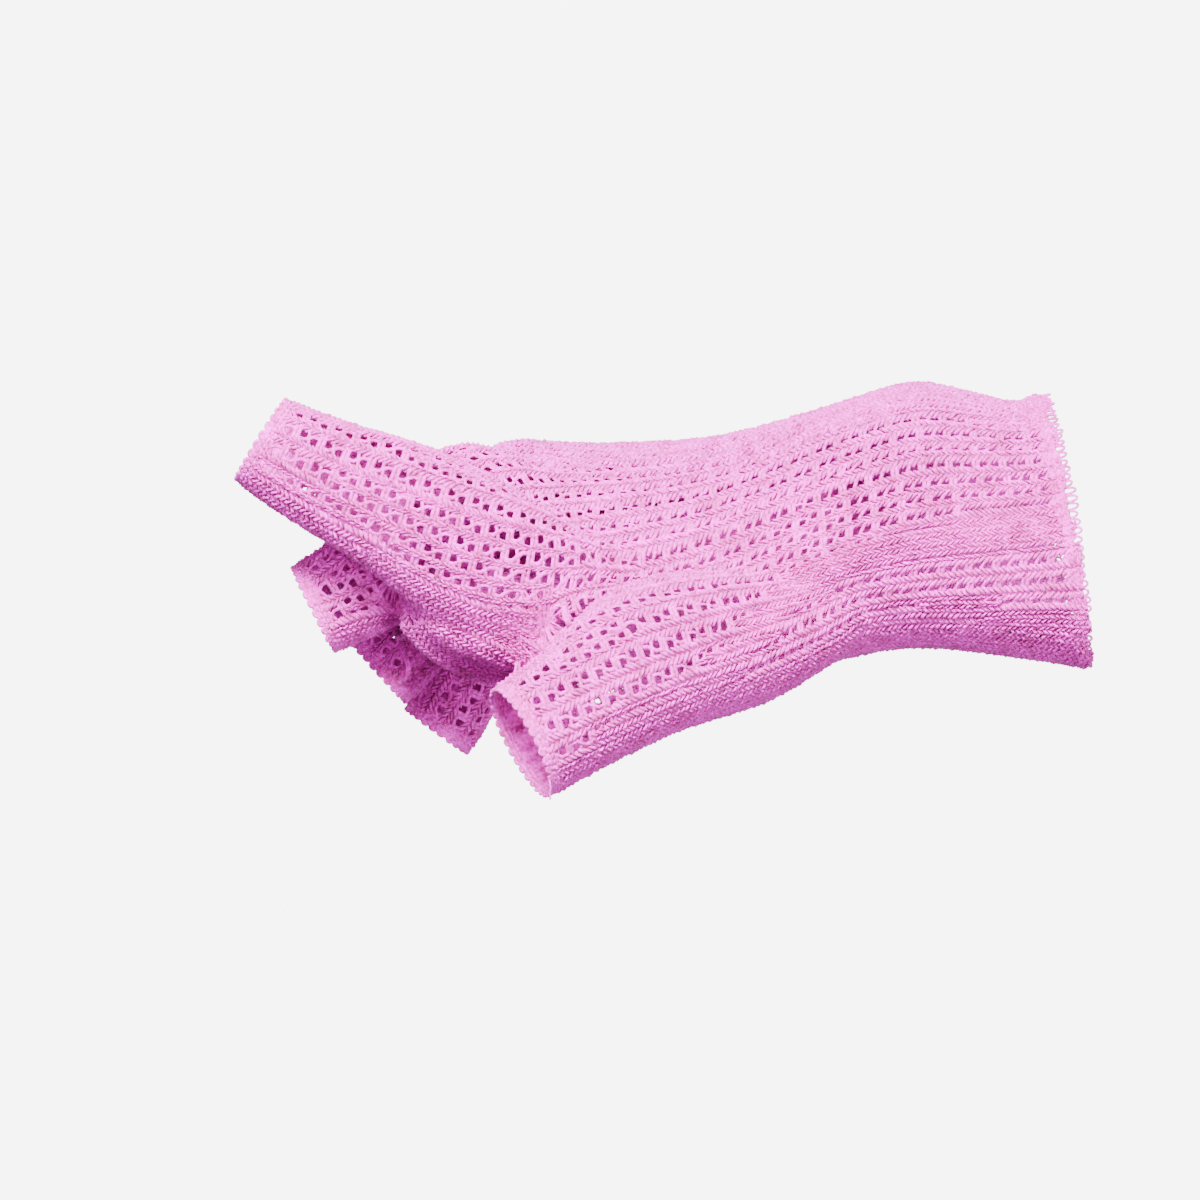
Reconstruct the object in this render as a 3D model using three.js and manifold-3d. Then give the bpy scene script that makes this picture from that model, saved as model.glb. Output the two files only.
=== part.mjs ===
// Fingerless lace-knit glove for a right hand, in millimetres, +Z up.
// It keeps its worn form: the cuff opens along +X, the finger stalls point to -X, the back of the
// hand is up and the thumb is on the -Y side. The origin is the centre of the cuff opening.

import * as THREE from "three";
import { mergeVertices } from "three/addons/utils/BufferGeometryUtils.js";
import Module from "manifold-3d";

const wasm = await Module();
wasm.setup();

// Driving dimensions
const WALL = 1.4;
const RIM_WALL = 1.9;
const PIECE_GAP = 0.35;
const RIM_LENGTH = 2.6;
const CUFF_LENGTH = 3.2;
const STEPS_BETWEEN_ROWS = 1;
const HAND_SEGMENTS = 30;
const STALL_SEGMENTS = 16;
const RIDGE_SPREAD = 13;
const YARN_COLOUR = 0xf5a6dc;
const EDGE_COLOUR = 0xf9b4e3;

// One row for each section of a tube, from the cuff side towards the tips.
// centre x, y, z; half breadth (thumb side to little side); half thickness (palm to back);
// roll, lean and turn in degrees; drop of both sides, as the hand arches; angle and height of
// the tendon ridge. A column that a tube leaves out is zero.
const HAND_ROWS = [
  { x: 0, y: 0, z: 0, breadth: 30, thick: 23.4, roll: 52, lean: -9, turn: 0, arch: 0, ridgeAt: 58, ridge: 0.8 },
  { x: -10, y: 0, z: 0.3, breadth: 28.2, thick: 22.4, roll: 52, lean: -5, turn: 0, arch: 0, ridgeAt: 57, ridge: 1.1 },
  { x: -21.6, y: 0, z: 2.4, breadth: 28.4, thick: 22.4, roll: 52, lean: 0, turn: 0, arch: 0, ridgeAt: 56, ridge: 1.4 },
  { x: -32, y: 0.5, z: 3.8, breadth: 29, thick: 23, roll: 51, lean: 2, turn: 0, arch: 1, ridgeAt: 53, ridge: 1.7 },
  { x: -45, y: 1, z: 1.2, breadth: 29.2, thick: 21.4, roll: 47, lean: 0, turn: 0, arch: 2, ridgeAt: 48, ridge: 1.9 },
  { x: -58, y: 1.5, z: -2, breadth: 32.2, thick: 19, roll: 42, lean: 0, turn: 0, arch: 3, ridgeAt: 38, ridge: 1.5 },
  { x: -72, y: 2, z: -4, breadth: 35.5, thick: 17, roll: 37, lean: 0, turn: 0, arch: 4, ridgeAt: 30, ridge: 0.6 },
  { x: -88, y: 2, z: -3.6, breadth: 38.6, thick: 16.4, roll: 31, lean: 0, turn: 0, arch: 5, ridgeAt: 30, ridge: 0 },
  { x: -103, y: 1, z: -1.8, breadth: 39.2, thick: 16.6, roll: 26, lean: 0, turn: -4, arch: 7, ridgeAt: 30, ridge: 0 },
  { x: -112, y: 0, z: -0.6, breadth: 37.6, thick: 16.6, roll: 22, lean: 0, turn: -10, arch: 8, ridgeAt: 30, ridge: 0 },
  { x: -118, y: -1, z: -1, breadth: 34.5, thick: 14, roll: 19, lean: 0, turn: -14, arch: 8, ridgeAt: 30, ridge: 0 },
  { x: -121.5, y: -2, z: -2, breadth: 30, thick: 10, roll: 17, lean: 0, turn: -16, arch: 8, ridgeAt: 30, ridge: 0 },
];

const THUMB_ROWS = [
  { x: -47.6, y: -14, z: -16.8, breadth: 9, thick: 8, lean: -26, turn: 20 },
  { x: -65.6, y: -22, z: -20.8, breadth: 13, thick: 14, lean: -24, turn: 22 },
  { x: -84.4, y: -32, z: -25.4, breadth: 13.5, thick: 15.4, lean: -26, turn: 20 },
  { x: -98.6, y: -39, z: -34.8, breadth: 12, thick: 12.8, lean: -27, turn: 18 },
  { x: -109, y: -43, z: -41.5, breadth: 11.5, thick: 12, lean: -27, turn: 15 },
];

const INDEX_ROWS = [
  { x: -90, y: -20, z: -13, breadth: 8, thick: 8, lean: 5, turn: 0 },
  { x: -104, y: -25, z: -11, breadth: 11.5, thick: 13, lean: 18, turn: 0 },
  { x: -118.6, y: -28.5, z: -4.4, breadth: 11.5, thick: 15, lean: 26, turn: 0 },
  { x: -133.6, y: -30.6, z: 4.6, breadth: 10.4, thick: 13.4, lean: 29, turn: 0 },
  { x: -149.8, y: -31.4, z: 12, breadth: 9.9, thick: 11, lean: 31, turn: 0 },
  { x: -159.8, y: -31, z: 17.5, breadth: 9.4, thick: 9.7, lean: 32, turn: 0 },
];

const MIDDLE_ROWS = [
  { x: -96, y: -5, z: -1, breadth: 8.5, thick: 8.5, lean: 0, turn: 0 },
  { x: -109, y: -7, z: 1.5, breadth: 10.4, thick: 13.6, lean: -2, turn: 0 },
  { x: -121, y: -8, z: 2.6, breadth: 10.4, thick: 14.8, lean: -10, turn: 0 },
  { x: -132, y: -7.8, z: -4.6, breadth: 9.8, thick: 12.2, lean: -26, turn: 0 },
  { x: -142, y: -8.2, z: -11, breadth: 9.6, thick: 10.6, lean: -28, turn: 0 },
  { x: -150.6, y: -8.4, z: -15.8, breadth: 9.5, thick: 9.9, lean: -27, turn: 0 },
];

const RING_ROWS = [
  { x: -92, y: 9, z: 1, breadth: 8.5, thick: 8.5, lean: 0, turn: 0 },
  { x: -104, y: 11, z: 3, breadth: 10, thick: 12.8, lean: -6, turn: 0 },
  { x: -115, y: 12.5, z: 0, breadth: 9.8, thick: 13.6, lean: -24, turn: 0 },
  { x: -125, y: 12.5, z: -10.6, breadth: 9.6, thick: 11, lean: -42, turn: 0 },
  { x: -132.4, y: 12.2, z: -20.4, breadth: 9.4, thick: 10, lean: -44, turn: 0 },
  { x: -138.8, y: 12, z: -28.2, breadth: 9.2, thick: 9.4, lean: -42, turn: 0 },
];

const LITTLE_ROWS = [
  { x: -84, y: 24, z: 3, breadth: 7.5, thick: 7.5, lean: 0, turn: 0 },
  { x: -96, y: 28, z: 2, breadth: 9.2, thick: 11, lean: -14, turn: 0 },
  { x: -107, y: 31.2, z: -6, breadth: 9, thick: 11.6, lean: -36, turn: 0 },
  { x: -115.4, y: 32, z: -19, breadth: 8.7, thick: 9.8, lean: -52, turn: 0 },
  { x: -121.6, y: 31.6, z: -30.6, breadth: 8.4, thick: 9, lean: -56, turn: 0 },
  { x: -127.2, y: 31, z: -41, breadth: 8.2, thick: 8.4, lean: -54, turn: 0 },
];

// The soft bulge of the palm under the root of the index finger.
const PAD_ROWS = [
  { x: -94, y: -6, z: -12, breadth: 10, thick: 8, lean: 0, turn: 0 },
  { x: -104, y: -10, z: -14.5, breadth: 13.5, thick: 14, lean: 0, turn: 0 },
  { x: -114, y: -13, z: -15.2, breadth: 12.5, thick: 15.4, lean: 5, turn: 0 },
  { x: -124, y: -16.5, z: -14, breadth: 9.6, thick: 12.4, lean: 12, turn: 0 },
  { x: -131, y: -19.5, z: -12.5, breadth: 6, thick: 7.4, lean: 18, turn: 0 },
];

// Each stall leaves the palm at rootLength along its own line.
// Its lace has stations along it and holes around it.
const STALLS = [
  { name: "thumb", rows: THUMB_ROWS, rootLength: 61, stations: 1, around: 7 },
  { name: "index", rows: INDEX_ROWS, rootLength: 52, stations: 3, around: 6 },
  { name: "middle", rows: MIDDLE_ROWS, rootLength: 47, stations: 2, around: 4 },
  { name: "ring", rows: RING_ROWS, rootLength: 40, stations: 2, around: 4 },
  { name: "little", rows: LITTLE_ROWS, rootLength: 43, stations: 2, around: 4 },
];

// Lace of the palm: rings of holes between two distances from the cuff, staggered by half a step.
const PALM_LACE = { from: 10, to: 108, stations: 8, around: 9 };
const HOLE_LENGTH = 6;
const HOLE_WIDTH = 2.8;
const HOLE_DEPTH = 6;
const HOLE_CLEARANCE = 2.2;

const radians = THREE.MathUtils.degToRad;
const TOWARDS_THUMB = new THREE.Vector3(0, -1, 0);

// The directions of a section: along towards the tips, side to the thumb, up to the back.
function axesOf(section) {
  const lean = radians(section.lean);
  const turn = radians(section.turn);
  const roll = radians(section.roll);
  const along = new THREE.Vector3(
    -Math.cos(lean) * Math.cos(turn),
    -Math.sin(turn),
    Math.sin(lean) * Math.cos(turn),
  );
  const level = TOWARDS_THUMB.clone();
  level.addScaledVector(along, -TOWARDS_THUMB.dot(along)).normalize();
  const dorsal = along.clone().cross(level);
  const side = level.clone().multiplyScalar(Math.cos(roll)).addScaledVector(dorsal, -Math.sin(roll));
  const up = dorsal.clone().multiplyScalar(Math.cos(roll)).addScaledVector(level, Math.sin(roll));
  return { along, side, up };
}

const COLUMNS = ["x", "y", "z", "breadth", "thick", "roll", "lean", "turn", "arch", "ridgeAt", "ridge"];

// A smooth value between the second and third of four neighbours.
function smooth(before, start, end, after, t) {
  const linear = end - before;
  const square = 2 * before - 5 * start + 4 * end - after;
  const cube = 3 * start - before - 3 * end + after;
  return 0.5 * (2 * start + linear * t + square * t * t + cube * t * t * t);
}

// A tube's line: sections close together, each with its distance from the first.
function makeLine(rows) {
  const line = [];
  const last = rows.length - 1;
  for (let i = 0; i < last; i += 1) {
    const four = [rows[Math.max(i - 1, 0)], rows[i], rows[i + 1], rows[Math.min(i + 2, last)]];
    for (let step = 0; step < STEPS_BETWEEN_ROWS; step += 1) {
      const section = {};
      for (const column of COLUMNS) {
        const values = four.map((row) => row[column] ?? 0);
        section[column] = smooth(...values, step / STEPS_BETWEEN_ROWS);
      }
      line.push(section);
    }
  }
  line.push(Object.fromEntries(COLUMNS.map((column) => [column, rows[last][column] ?? 0])));
  let distance = 0;
  line.forEach((section, i) => {
    if (i > 0) distance += centreOf(section).distanceTo(centreOf(line[i - 1]));
    section.distance = distance;
  });
  return line;
}

function centreOf(section) {
  return new THREE.Vector3(section.x, section.y, section.z);
}

// The section at any distance along a line; past either end it goes straight on.
function sectionAt(line, distance) {
  let next = line.findIndex((section) => section.distance >= distance);
  if (next < 0) next = line.length - 1;
  if (next === 0) next = 1;
  const start = line[next - 1];
  const end = line[next];
  const t = (distance - start.distance) / (end.distance - start.distance);
  const section = { distance };
  for (const column of COLUMNS) {
    section[column] = start[column] + (end[column] - start[column]) * t;
  }
  return section;
}

// The sections of a line from one distance to another, with both ends exact.
function stretch(line, from, to) {
  const between = line.filter((section) => section.distance > from + 1 && section.distance < to - 1);
  return [sectionAt(line, from), ...between, sectionAt(line, to)];
}

function lengthOf(line) {
  return line[line.length - 1].distance;
}

// A point on a section's edge, inset from the outside.
function edgePoint(section, angle, inset) {
  const { side, up } = axesOf(section);
  const away = (THREE.MathUtils.radToDeg(angle) - section.ridgeAt) / RIDGE_SPREAD;
  const swell = section.ridge * Math.exp(-away * away);
  const sideways = Math.cos(angle) * (section.breadth - inset + swell);
  const drop = section.arch * (sideways / section.breadth) ** 2;
  const upwards = Math.sin(angle) * (section.thick - inset + swell) - drop;
  return centreOf(section).addScaledVector(side, sideways).addScaledVector(up, upwards);
}

// A closed solid lofted through sections.
function loft(sections, segments, inset) {
  const positions = [];
  const indices = [];
  for (const section of sections) {
    for (let i = 0; i < segments; i += 1) {
      positions.push(...edgePoint(section, (i / segments) * 2 * Math.PI, inset).toArray());
    }
  }
  for (let ring = 0; ring < sections.length - 1; ring += 1) {
    for (let i = 0; i < segments; i += 1) {
      const a = ring * segments + i;
      const b = ring * segments + ((i + 1) % segments);
      indices.push(a, b, a + segments, b, b + segments, a + segments);
    }
  }
  const ends = [0, sections.length - 1];
  for (const ring of ends) {
    const middle = positions.length / 3;
    positions.push(...centreOf(sections[ring]).toArray());
    for (let i = 0; i < segments; i += 1) {
      const a = ring * segments + i;
      const b = ring * segments + ((i + 1) % segments);
      if (ring === 0) indices.push(middle, b, a);
      else indices.push(middle, a, b);
    }
  }
  const geometry = new THREE.BufferGeometry();
  geometry.setAttribute("position", new THREE.Float32BufferAttribute(positions, 3));
  geometry.setIndex(indices);
  return geometry;
}

function toSolid(geometry) {
  const plain = geometry.clone();
  plain.deleteAttribute("normal");
  plain.deleteAttribute("uv");
  const merged = mergeVertices(plain, 1e-4);
  return new wasm.Manifold(new wasm.Mesh({
    numProp: 3,
    vertProperties: new Float32Array(merged.attributes.position.array),
    triVerts: new Uint32Array(merged.index.array),
  }));
}

function toGeometry(solid) {
  const mesh = solid.getMesh();
  const geometry = new THREE.BufferGeometry();
  geometry.setAttribute("position", new THREE.BufferAttribute(new Float32Array(mesh.vertProperties), 3));
  geometry.setIndex(new THREE.BufferAttribute(new Uint32Array(mesh.triVerts), 1));
  const flat = geometry.toNonIndexed();
  flat.computeVertexNormals();
  return flat;
}

// An open pipe with a wall, along part of a line.
function pipe(line, from, to, segments, wall) {
  const outside = toSolid(loft(stretch(line, from, to), segments, 0));
  const inside = toSolid(loft(stretch(line, from - 1, to + 1), segments, wall));
  return outside.subtract(inside);
}

// A slanted diamond through the wall at one place on a tube.
function holeAt(section, angle) {
  const { along } = axesOf(section);
  const point = edgePoint(section, angle, WALL / 2);
  const ahead = edgePoint(section, angle + 0.02, WALL / 2);
  const across = ahead.sub(point).normalize();
  const outward = along.clone().cross(across).normalize();
  const lengthwise = across.clone().cross(outward).normalize();
  const hole = new THREE.CylinderGeometry(1, 1, HOLE_DEPTH, 4, 1);
  hole.scale(HOLE_WIDTH / 2, 1, HOLE_LENGTH / 2);
  const place = new THREE.Matrix4().makeBasis(across, outward, lengthwise);
  if (place.determinant() < 0) place.makeBasis(across, outward, lengthwise.negate());
  hole.applyMatrix4(place.setPosition(point));
  return toSolid(hole);
}

// Whether a point lies inside a tube, or nearer to it than the clearance.
function isInside(line, point, clearance) {
  return line.some((section, i) => {
    const { along, side, up } = axesOf(section);
    const offset = point.clone().sub(centreOf(section));
    const before = i > 0 ? section.distance - line[i - 1].distance : clearance;
    const after = i < line.length - 1 ? line[i + 1].distance - section.distance : clearance;
    const run = offset.dot(along);
    if (run < -before || run > after) return false;
    const breadth = section.breadth + clearance;
    const thick = section.thick + clearance;
    return (offset.dot(side) / breadth) ** 2 + (offset.dot(up) / thick) ** 2 < 1;
  });
}

// Staggered rings of holes between two distances of a tube, clear of the other tubes.
function lace(line, from, to, stations, around, others) {
  const holes = [];
  for (let station = 0; station < stations; station += 1) {
    const distance = from + ((to - from) * (station + 0.5)) / stations;
    const section = sectionAt(line, distance);
    for (let i = 0; i < around; i += 1) {
      const angle = ((i + (station % 2) / 2) / around) * 2 * Math.PI;
      const point = edgePoint(section, angle, 0);
      const covered = others.some((other) => isInside(other, point, HOLE_CLEARANCE));
      if (!covered) holes.push(holeAt(section, angle));
    }
  }
  return holes;
}

function cutHoles(solid, holes) {
  return holes.reduce((rest, hole) => rest.subtract(hole), solid);
}

function makePiece(name, solid, colour) {
  const material = new THREE.MeshStandardMaterial({ color: colour, roughness: 0.9, metalness: 0 });
  const mesh = new THREE.Mesh(toGeometry(solid), material);
  mesh.name = name;
  return mesh;
}

const handLine = makeLine(HAND_ROWS);
const stalls = STALLS.map((stall) => ({ ...stall, line: makeLine(stall.rows) }));
const padLine = makeLine(PAD_ROWS);
const linesOverPalm = [...stalls.map((stall) => stall.line), padLine];

// The hand tube joined with the roots of the stalls.
function makePalmShell() {
  const handEnd = lengthOf(handLine);
  const start = CUFF_LENGTH + PIECE_GAP;
  let outside = toSolid(loft(stretch(handLine, start, handEnd), HAND_SEGMENTS, 0));
  let inside = toSolid(loft(stretch(handLine, start - 1, handEnd - WALL), HAND_SEGMENTS, WALL));
  const roots = stalls.map(({ line, rootLength }) => ({ line, end: rootLength, hollowEnd: rootLength + 1 }));
  const padEnd = lengthOf(padLine);
  roots.push({ line: padLine, end: padEnd, hollowEnd: padEnd - WALL });
  for (const { line, end, hollowEnd } of roots) {
    outside = outside.add(toSolid(loft(stretch(line, 0, end), STALL_SEGMENTS, 0)));
    inside = inside.add(toSolid(loft(stretch(line, WALL, hollowEnd), STALL_SEGMENTS, WALL)));
  }
  const { from, to, stations, around } = PALM_LACE;
  const holes = lace(handLine, from, to, stations, around, linesOverPalm);
  return cutHoles(outside.subtract(inside), holes);
}

function makeStall(stall) {
  const from = stall.rootLength + PIECE_GAP;
  const to = lengthOf(stall.line) - RIM_LENGTH - PIECE_GAP;
  const wall = pipe(stall.line, from, to, STALL_SEGMENTS, WALL);
  return cutHoles(wall, lace(stall.line, from, to, stall.stations, stall.around, []));
}

function makeRim(stall) {
  const end = lengthOf(stall.line);
  return pipe(stall.line, end - RIM_LENGTH, end, STALL_SEGMENTS, RIM_WALL);
}

const glove = new THREE.Group();
glove.add(makePiece("palm_shell", makePalmShell(), YARN_COLOUR));
glove.add(makePiece("cuff_edge", pipe(handLine, 0, CUFF_LENGTH, HAND_SEGMENTS, RIM_WALL), EDGE_COLOUR));
for (const stall of stalls) {
  glove.add(makePiece(`${stall.name}_stall`, makeStall(stall), YARN_COLOUR));
  glove.add(makePiece(`${stall.name}_rim`, makeRim(stall), EDGE_COLOUR));
}

export default glove;
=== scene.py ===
"""Right fingerless glove in lace knit: the yarn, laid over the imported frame.

The form comes from the same section rows as the solids. A smooth flow over that form, from the
stall rims to the cuff, gives the lines that the stitch columns (wales) follow. Each column is a
chain of small stitch legs over a thin core, and pairs of eyelets lie between the columns.
Lengths are in millimetres until a mesh is made.
"""

import logging
import math
from dataclasses import dataclass, field
from enum import Enum

import bpy
import numpy as np
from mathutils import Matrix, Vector
from mathutils.bvhtree import BVHTree

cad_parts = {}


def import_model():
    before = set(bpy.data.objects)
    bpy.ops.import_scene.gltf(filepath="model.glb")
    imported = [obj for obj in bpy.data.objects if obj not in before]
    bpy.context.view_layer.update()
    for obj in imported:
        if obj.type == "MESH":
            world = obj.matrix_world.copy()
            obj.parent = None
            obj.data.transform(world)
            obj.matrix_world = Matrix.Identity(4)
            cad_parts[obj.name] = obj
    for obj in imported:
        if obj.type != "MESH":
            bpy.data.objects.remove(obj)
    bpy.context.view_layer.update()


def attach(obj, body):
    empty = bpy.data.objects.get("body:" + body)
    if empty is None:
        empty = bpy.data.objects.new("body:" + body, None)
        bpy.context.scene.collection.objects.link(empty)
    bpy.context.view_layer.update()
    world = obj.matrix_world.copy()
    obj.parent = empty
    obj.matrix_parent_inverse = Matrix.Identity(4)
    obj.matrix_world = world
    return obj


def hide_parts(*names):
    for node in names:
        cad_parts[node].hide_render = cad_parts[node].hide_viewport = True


LOG = logging.getLogger("glove")
MM = 0.001

# Columns of a section row: centre x, y, z; half breadth; half thickness; roll, lean, turn;
# drop of both sides; angle and height of the long ridge over the thumb's root.
PALM_ROWS = (
    (0, 0, 0.3, 31, 23.9, 52, -9, 0, 0, 58, 0.8),
    (-5.5, 0, 0, 28.8, 22.7, 52, -7, 0, 0, 57, 1.0),
    (-10, 0, 0.3, 28.2, 22.4, 52, -5, 0, 0, 57, 1.1),
    (-21.6, 0, 2.4, 28.4, 22.4, 52, 0, 0, 0, 56, 1.4),
    (-32, 0.5, 3.8, 29, 23, 51, 2, 0, 1, 53, 1.7),
    (-45, 1, 1.2, 29.2, 21.4, 47, 0, 0, 2, 48, 1.9),
    (-58, 1.5, -2, 32.2, 19, 42, 0, 0, 3, 38, 1.5),
    (-72, 2, -4, 35.5, 17, 37, 0, 0, 4, 30, 0.6),
    (-88, 2, -3.6, 38.6, 16.4, 31, 0, 0, 5, 30, 0),
    (-103, 1, -1.8, 39.2, 16.6, 26, 0, -4, 7, 30, 0),
    (-112, 0, -0.4, 37.6, 17.3, 22, 0, -10, 8, 30, 0),
    (-118, -1, -0.6, 34.5, 15.2, 19, 0, -14, 8, 30, 0),
    (-121.5, -2, -1.6, 30, 11, 17, 0, -16, 8, 30, 0),
)
THUMB_ROWS = (
    (-47.6, -14, -16.8, 9, 8, 0, -26, 20, 0, 0, 0),
    (-65.6, -22, -20.8, 13, 14, 0, -24, 22, 0, 0, 0),
    (-84.4, -32, -25.4, 13.5, 15.4, 0, -26, 20, 0, 0, 0),
    (-98.6, -39, -34.8, 12, 12.8, 0, -27, 18, 0, 0, 0),
    (-109, -43, -41.5, 11.5, 12, 0, -27, 15, 0, 0, 0),
)
INDEX_ROWS = (
    (-90, -20, -13, 8, 8, 0, 5, 0, 0, 0, 0),
    (-104, -25, -11, 11.5, 13, 0, 18, 0, 0, 0, 0),
    (-118.6, -28.5, -4.4, 11.5, 15, 0, 26, 0, 0, 0, 0),
    (-133.6, -30.6, 4.6, 10.4, 13.4, 0, 29, 0, 0, 0, 0),
    (-149.8, -31.4, 12, 9.9, 11, 0, 31, 0, 0, 0, 0),
    (-159.8, -31, 17.5, 9.4, 9.7, 0, 32, 0, 0, 0, 0),
)
MIDDLE_ROWS = (
    (-96, -5, -1, 8.5, 8.5, 0, 0, 0, 0, 0, 0),
    (-109, -7, 1.5, 10.4, 13.6, 0, -2, 0, 0, 0, 0),
    (-121, -8, 2.6, 10.4, 14.8, 0, -10, 0, 0, 0, 0),
    (-132, -7.8, -4.6, 9.8, 12.2, 0, -26, 0, 0, 0, 0),
    (-142, -8.2, -11, 9.6, 10.6, 0, -28, 0, 0, 0, 0),
    (-150.6, -8.4, -15.8, 9.5, 9.9, 0, -27, 0, 0, 0, 0),
)
RING_ROWS = (
    (-92, 9, 1, 8.5, 8.5, 0, 0, 0, 0, 0, 0),
    (-104, 11, 3, 10, 12.8, 0, -6, 0, 0, 0, 0),
    (-115, 12.5, 0, 9.8, 13.6, 0, -24, 0, 0, 0, 0),
    (-125, 12.5, -10.6, 9.6, 11, 0, -42, 0, 0, 0, 0),
    (-132.4, 12.2, -20.4, 9.4, 10, 0, -44, 0, 0, 0, 0),
    (-138.8, 12, -28.2, 9.2, 9.4, 0, -42, 0, 0, 0, 0),
)
LITTLE_ROWS = (
    (-84, 24, 3, 7.5, 7.5, 0, 0, 0, 0, 0, 0),
    (-96, 28, 2, 9.2, 11, 0, -14, 0, 0, 0, 0),
    (-107, 31.2, -6, 9, 11.6, 0, -36, 0, 0, 0, 0),
    (-115.4, 32, -19, 8.7, 9.8, 0, -52, 0, 0, 0, 0),
    (-121.6, 31.6, -30.6, 8.4, 9, 0, -56, 0, 0, 0, 0),
    (-127.2, 31, -41, 8.2, 8.4, 0, -54, 0, 0, 0, 0),
)
PAD_ROWS = (
    (-94, -6, -12, 10, 8, 0, 0, 0, 0, 0, 0),
    (-104, -10, -14.5, 13.5, 14, 0, 0, 0, 0, 0, 0),
    (-114, -13, -15.2, 12.5, 15.4, 0, 5, 0, 0, 0, 0),
    (-124, -16.5, -14, 9.6, 12.4, 0, 12, 0, 0, 0, 0),
    (-131, -19.5, -12.5, 6, 7.4, 0, 18, 0, 0, 0, 0),
)


class Finger(Enum):
    """The five stalls of the glove."""

    THUMB = "thumb"
    INDEX = "index"
    MIDDLE = "middle"
    RING = "ring"
    LITTLE = "little"


class Side(Enum):
    """The sectors that the knit of the palm shell is split into, by angle at the cuff."""

    THUMB_SIDE = "thumb_side"
    BACK_NEAR = "back_near"
    BACK_FAR = "back_far"
    LITTLE_SIDE = "little_side"
    PALM_FAR = "palm_far"
    PALM_NEAR = "palm_near"


@dataclass(frozen=True)
class Stall:
    """The form of a stall and the plan of its knit.

    Its length is measured back from the rim. From one cell on, the eyelet pairs of its columns
    lean the other way.
    """

    rows: tuple[tuple[float, ...], ...]
    wales: int
    length: float
    flip_from: int


STALLS = {
    Finger.THUMB: Stall(THUMB_ROWS, 13, 14.0, 60),
    Finger.INDEX: Stall(INDEX_ROWS, 12, 29.0, 19),
    Finger.MIDDLE: Stall(MIDDLE_ROWS, 6, 16.0, 19),
    Finger.RING: Stall(RING_ROWS, 5, 22.0, 19),
    Finger.LITTLE: Stall(LITTLE_ROWS, 5, 22.0, 19),
}
# Length of an eyelet cell along a column.
CELL = 5.4


def unit(vectors: np.ndarray) -> np.ndarray:
    """Vectors scaled to length one along the last axis."""
    return vectors / np.maximum(np.linalg.norm(vectors, axis=-1, keepdims=True), 1e-12)


def between(places: np.ndarray, known: np.ndarray, rows: np.ndarray) -> np.ndarray:
    """Rows of numbers at places, interpolated from the rows at known places."""
    return np.stack([np.interp(places, known, column) for column in rows.T], -1)


def smoothed(values: np.ndarray, reach: int) -> np.ndarray:
    """The running mean of the values within reach on both sides."""
    span = 2 * reach + 1
    return np.convolve(np.pad(values, reach, mode="edge"), np.ones(span) / span, "valid")


def deselect() -> None:
    """Leave nothing selected, so that an operator acts only on the new piece."""
    for item in bpy.context.selected_objects:
        item.select_set(False)


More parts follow.
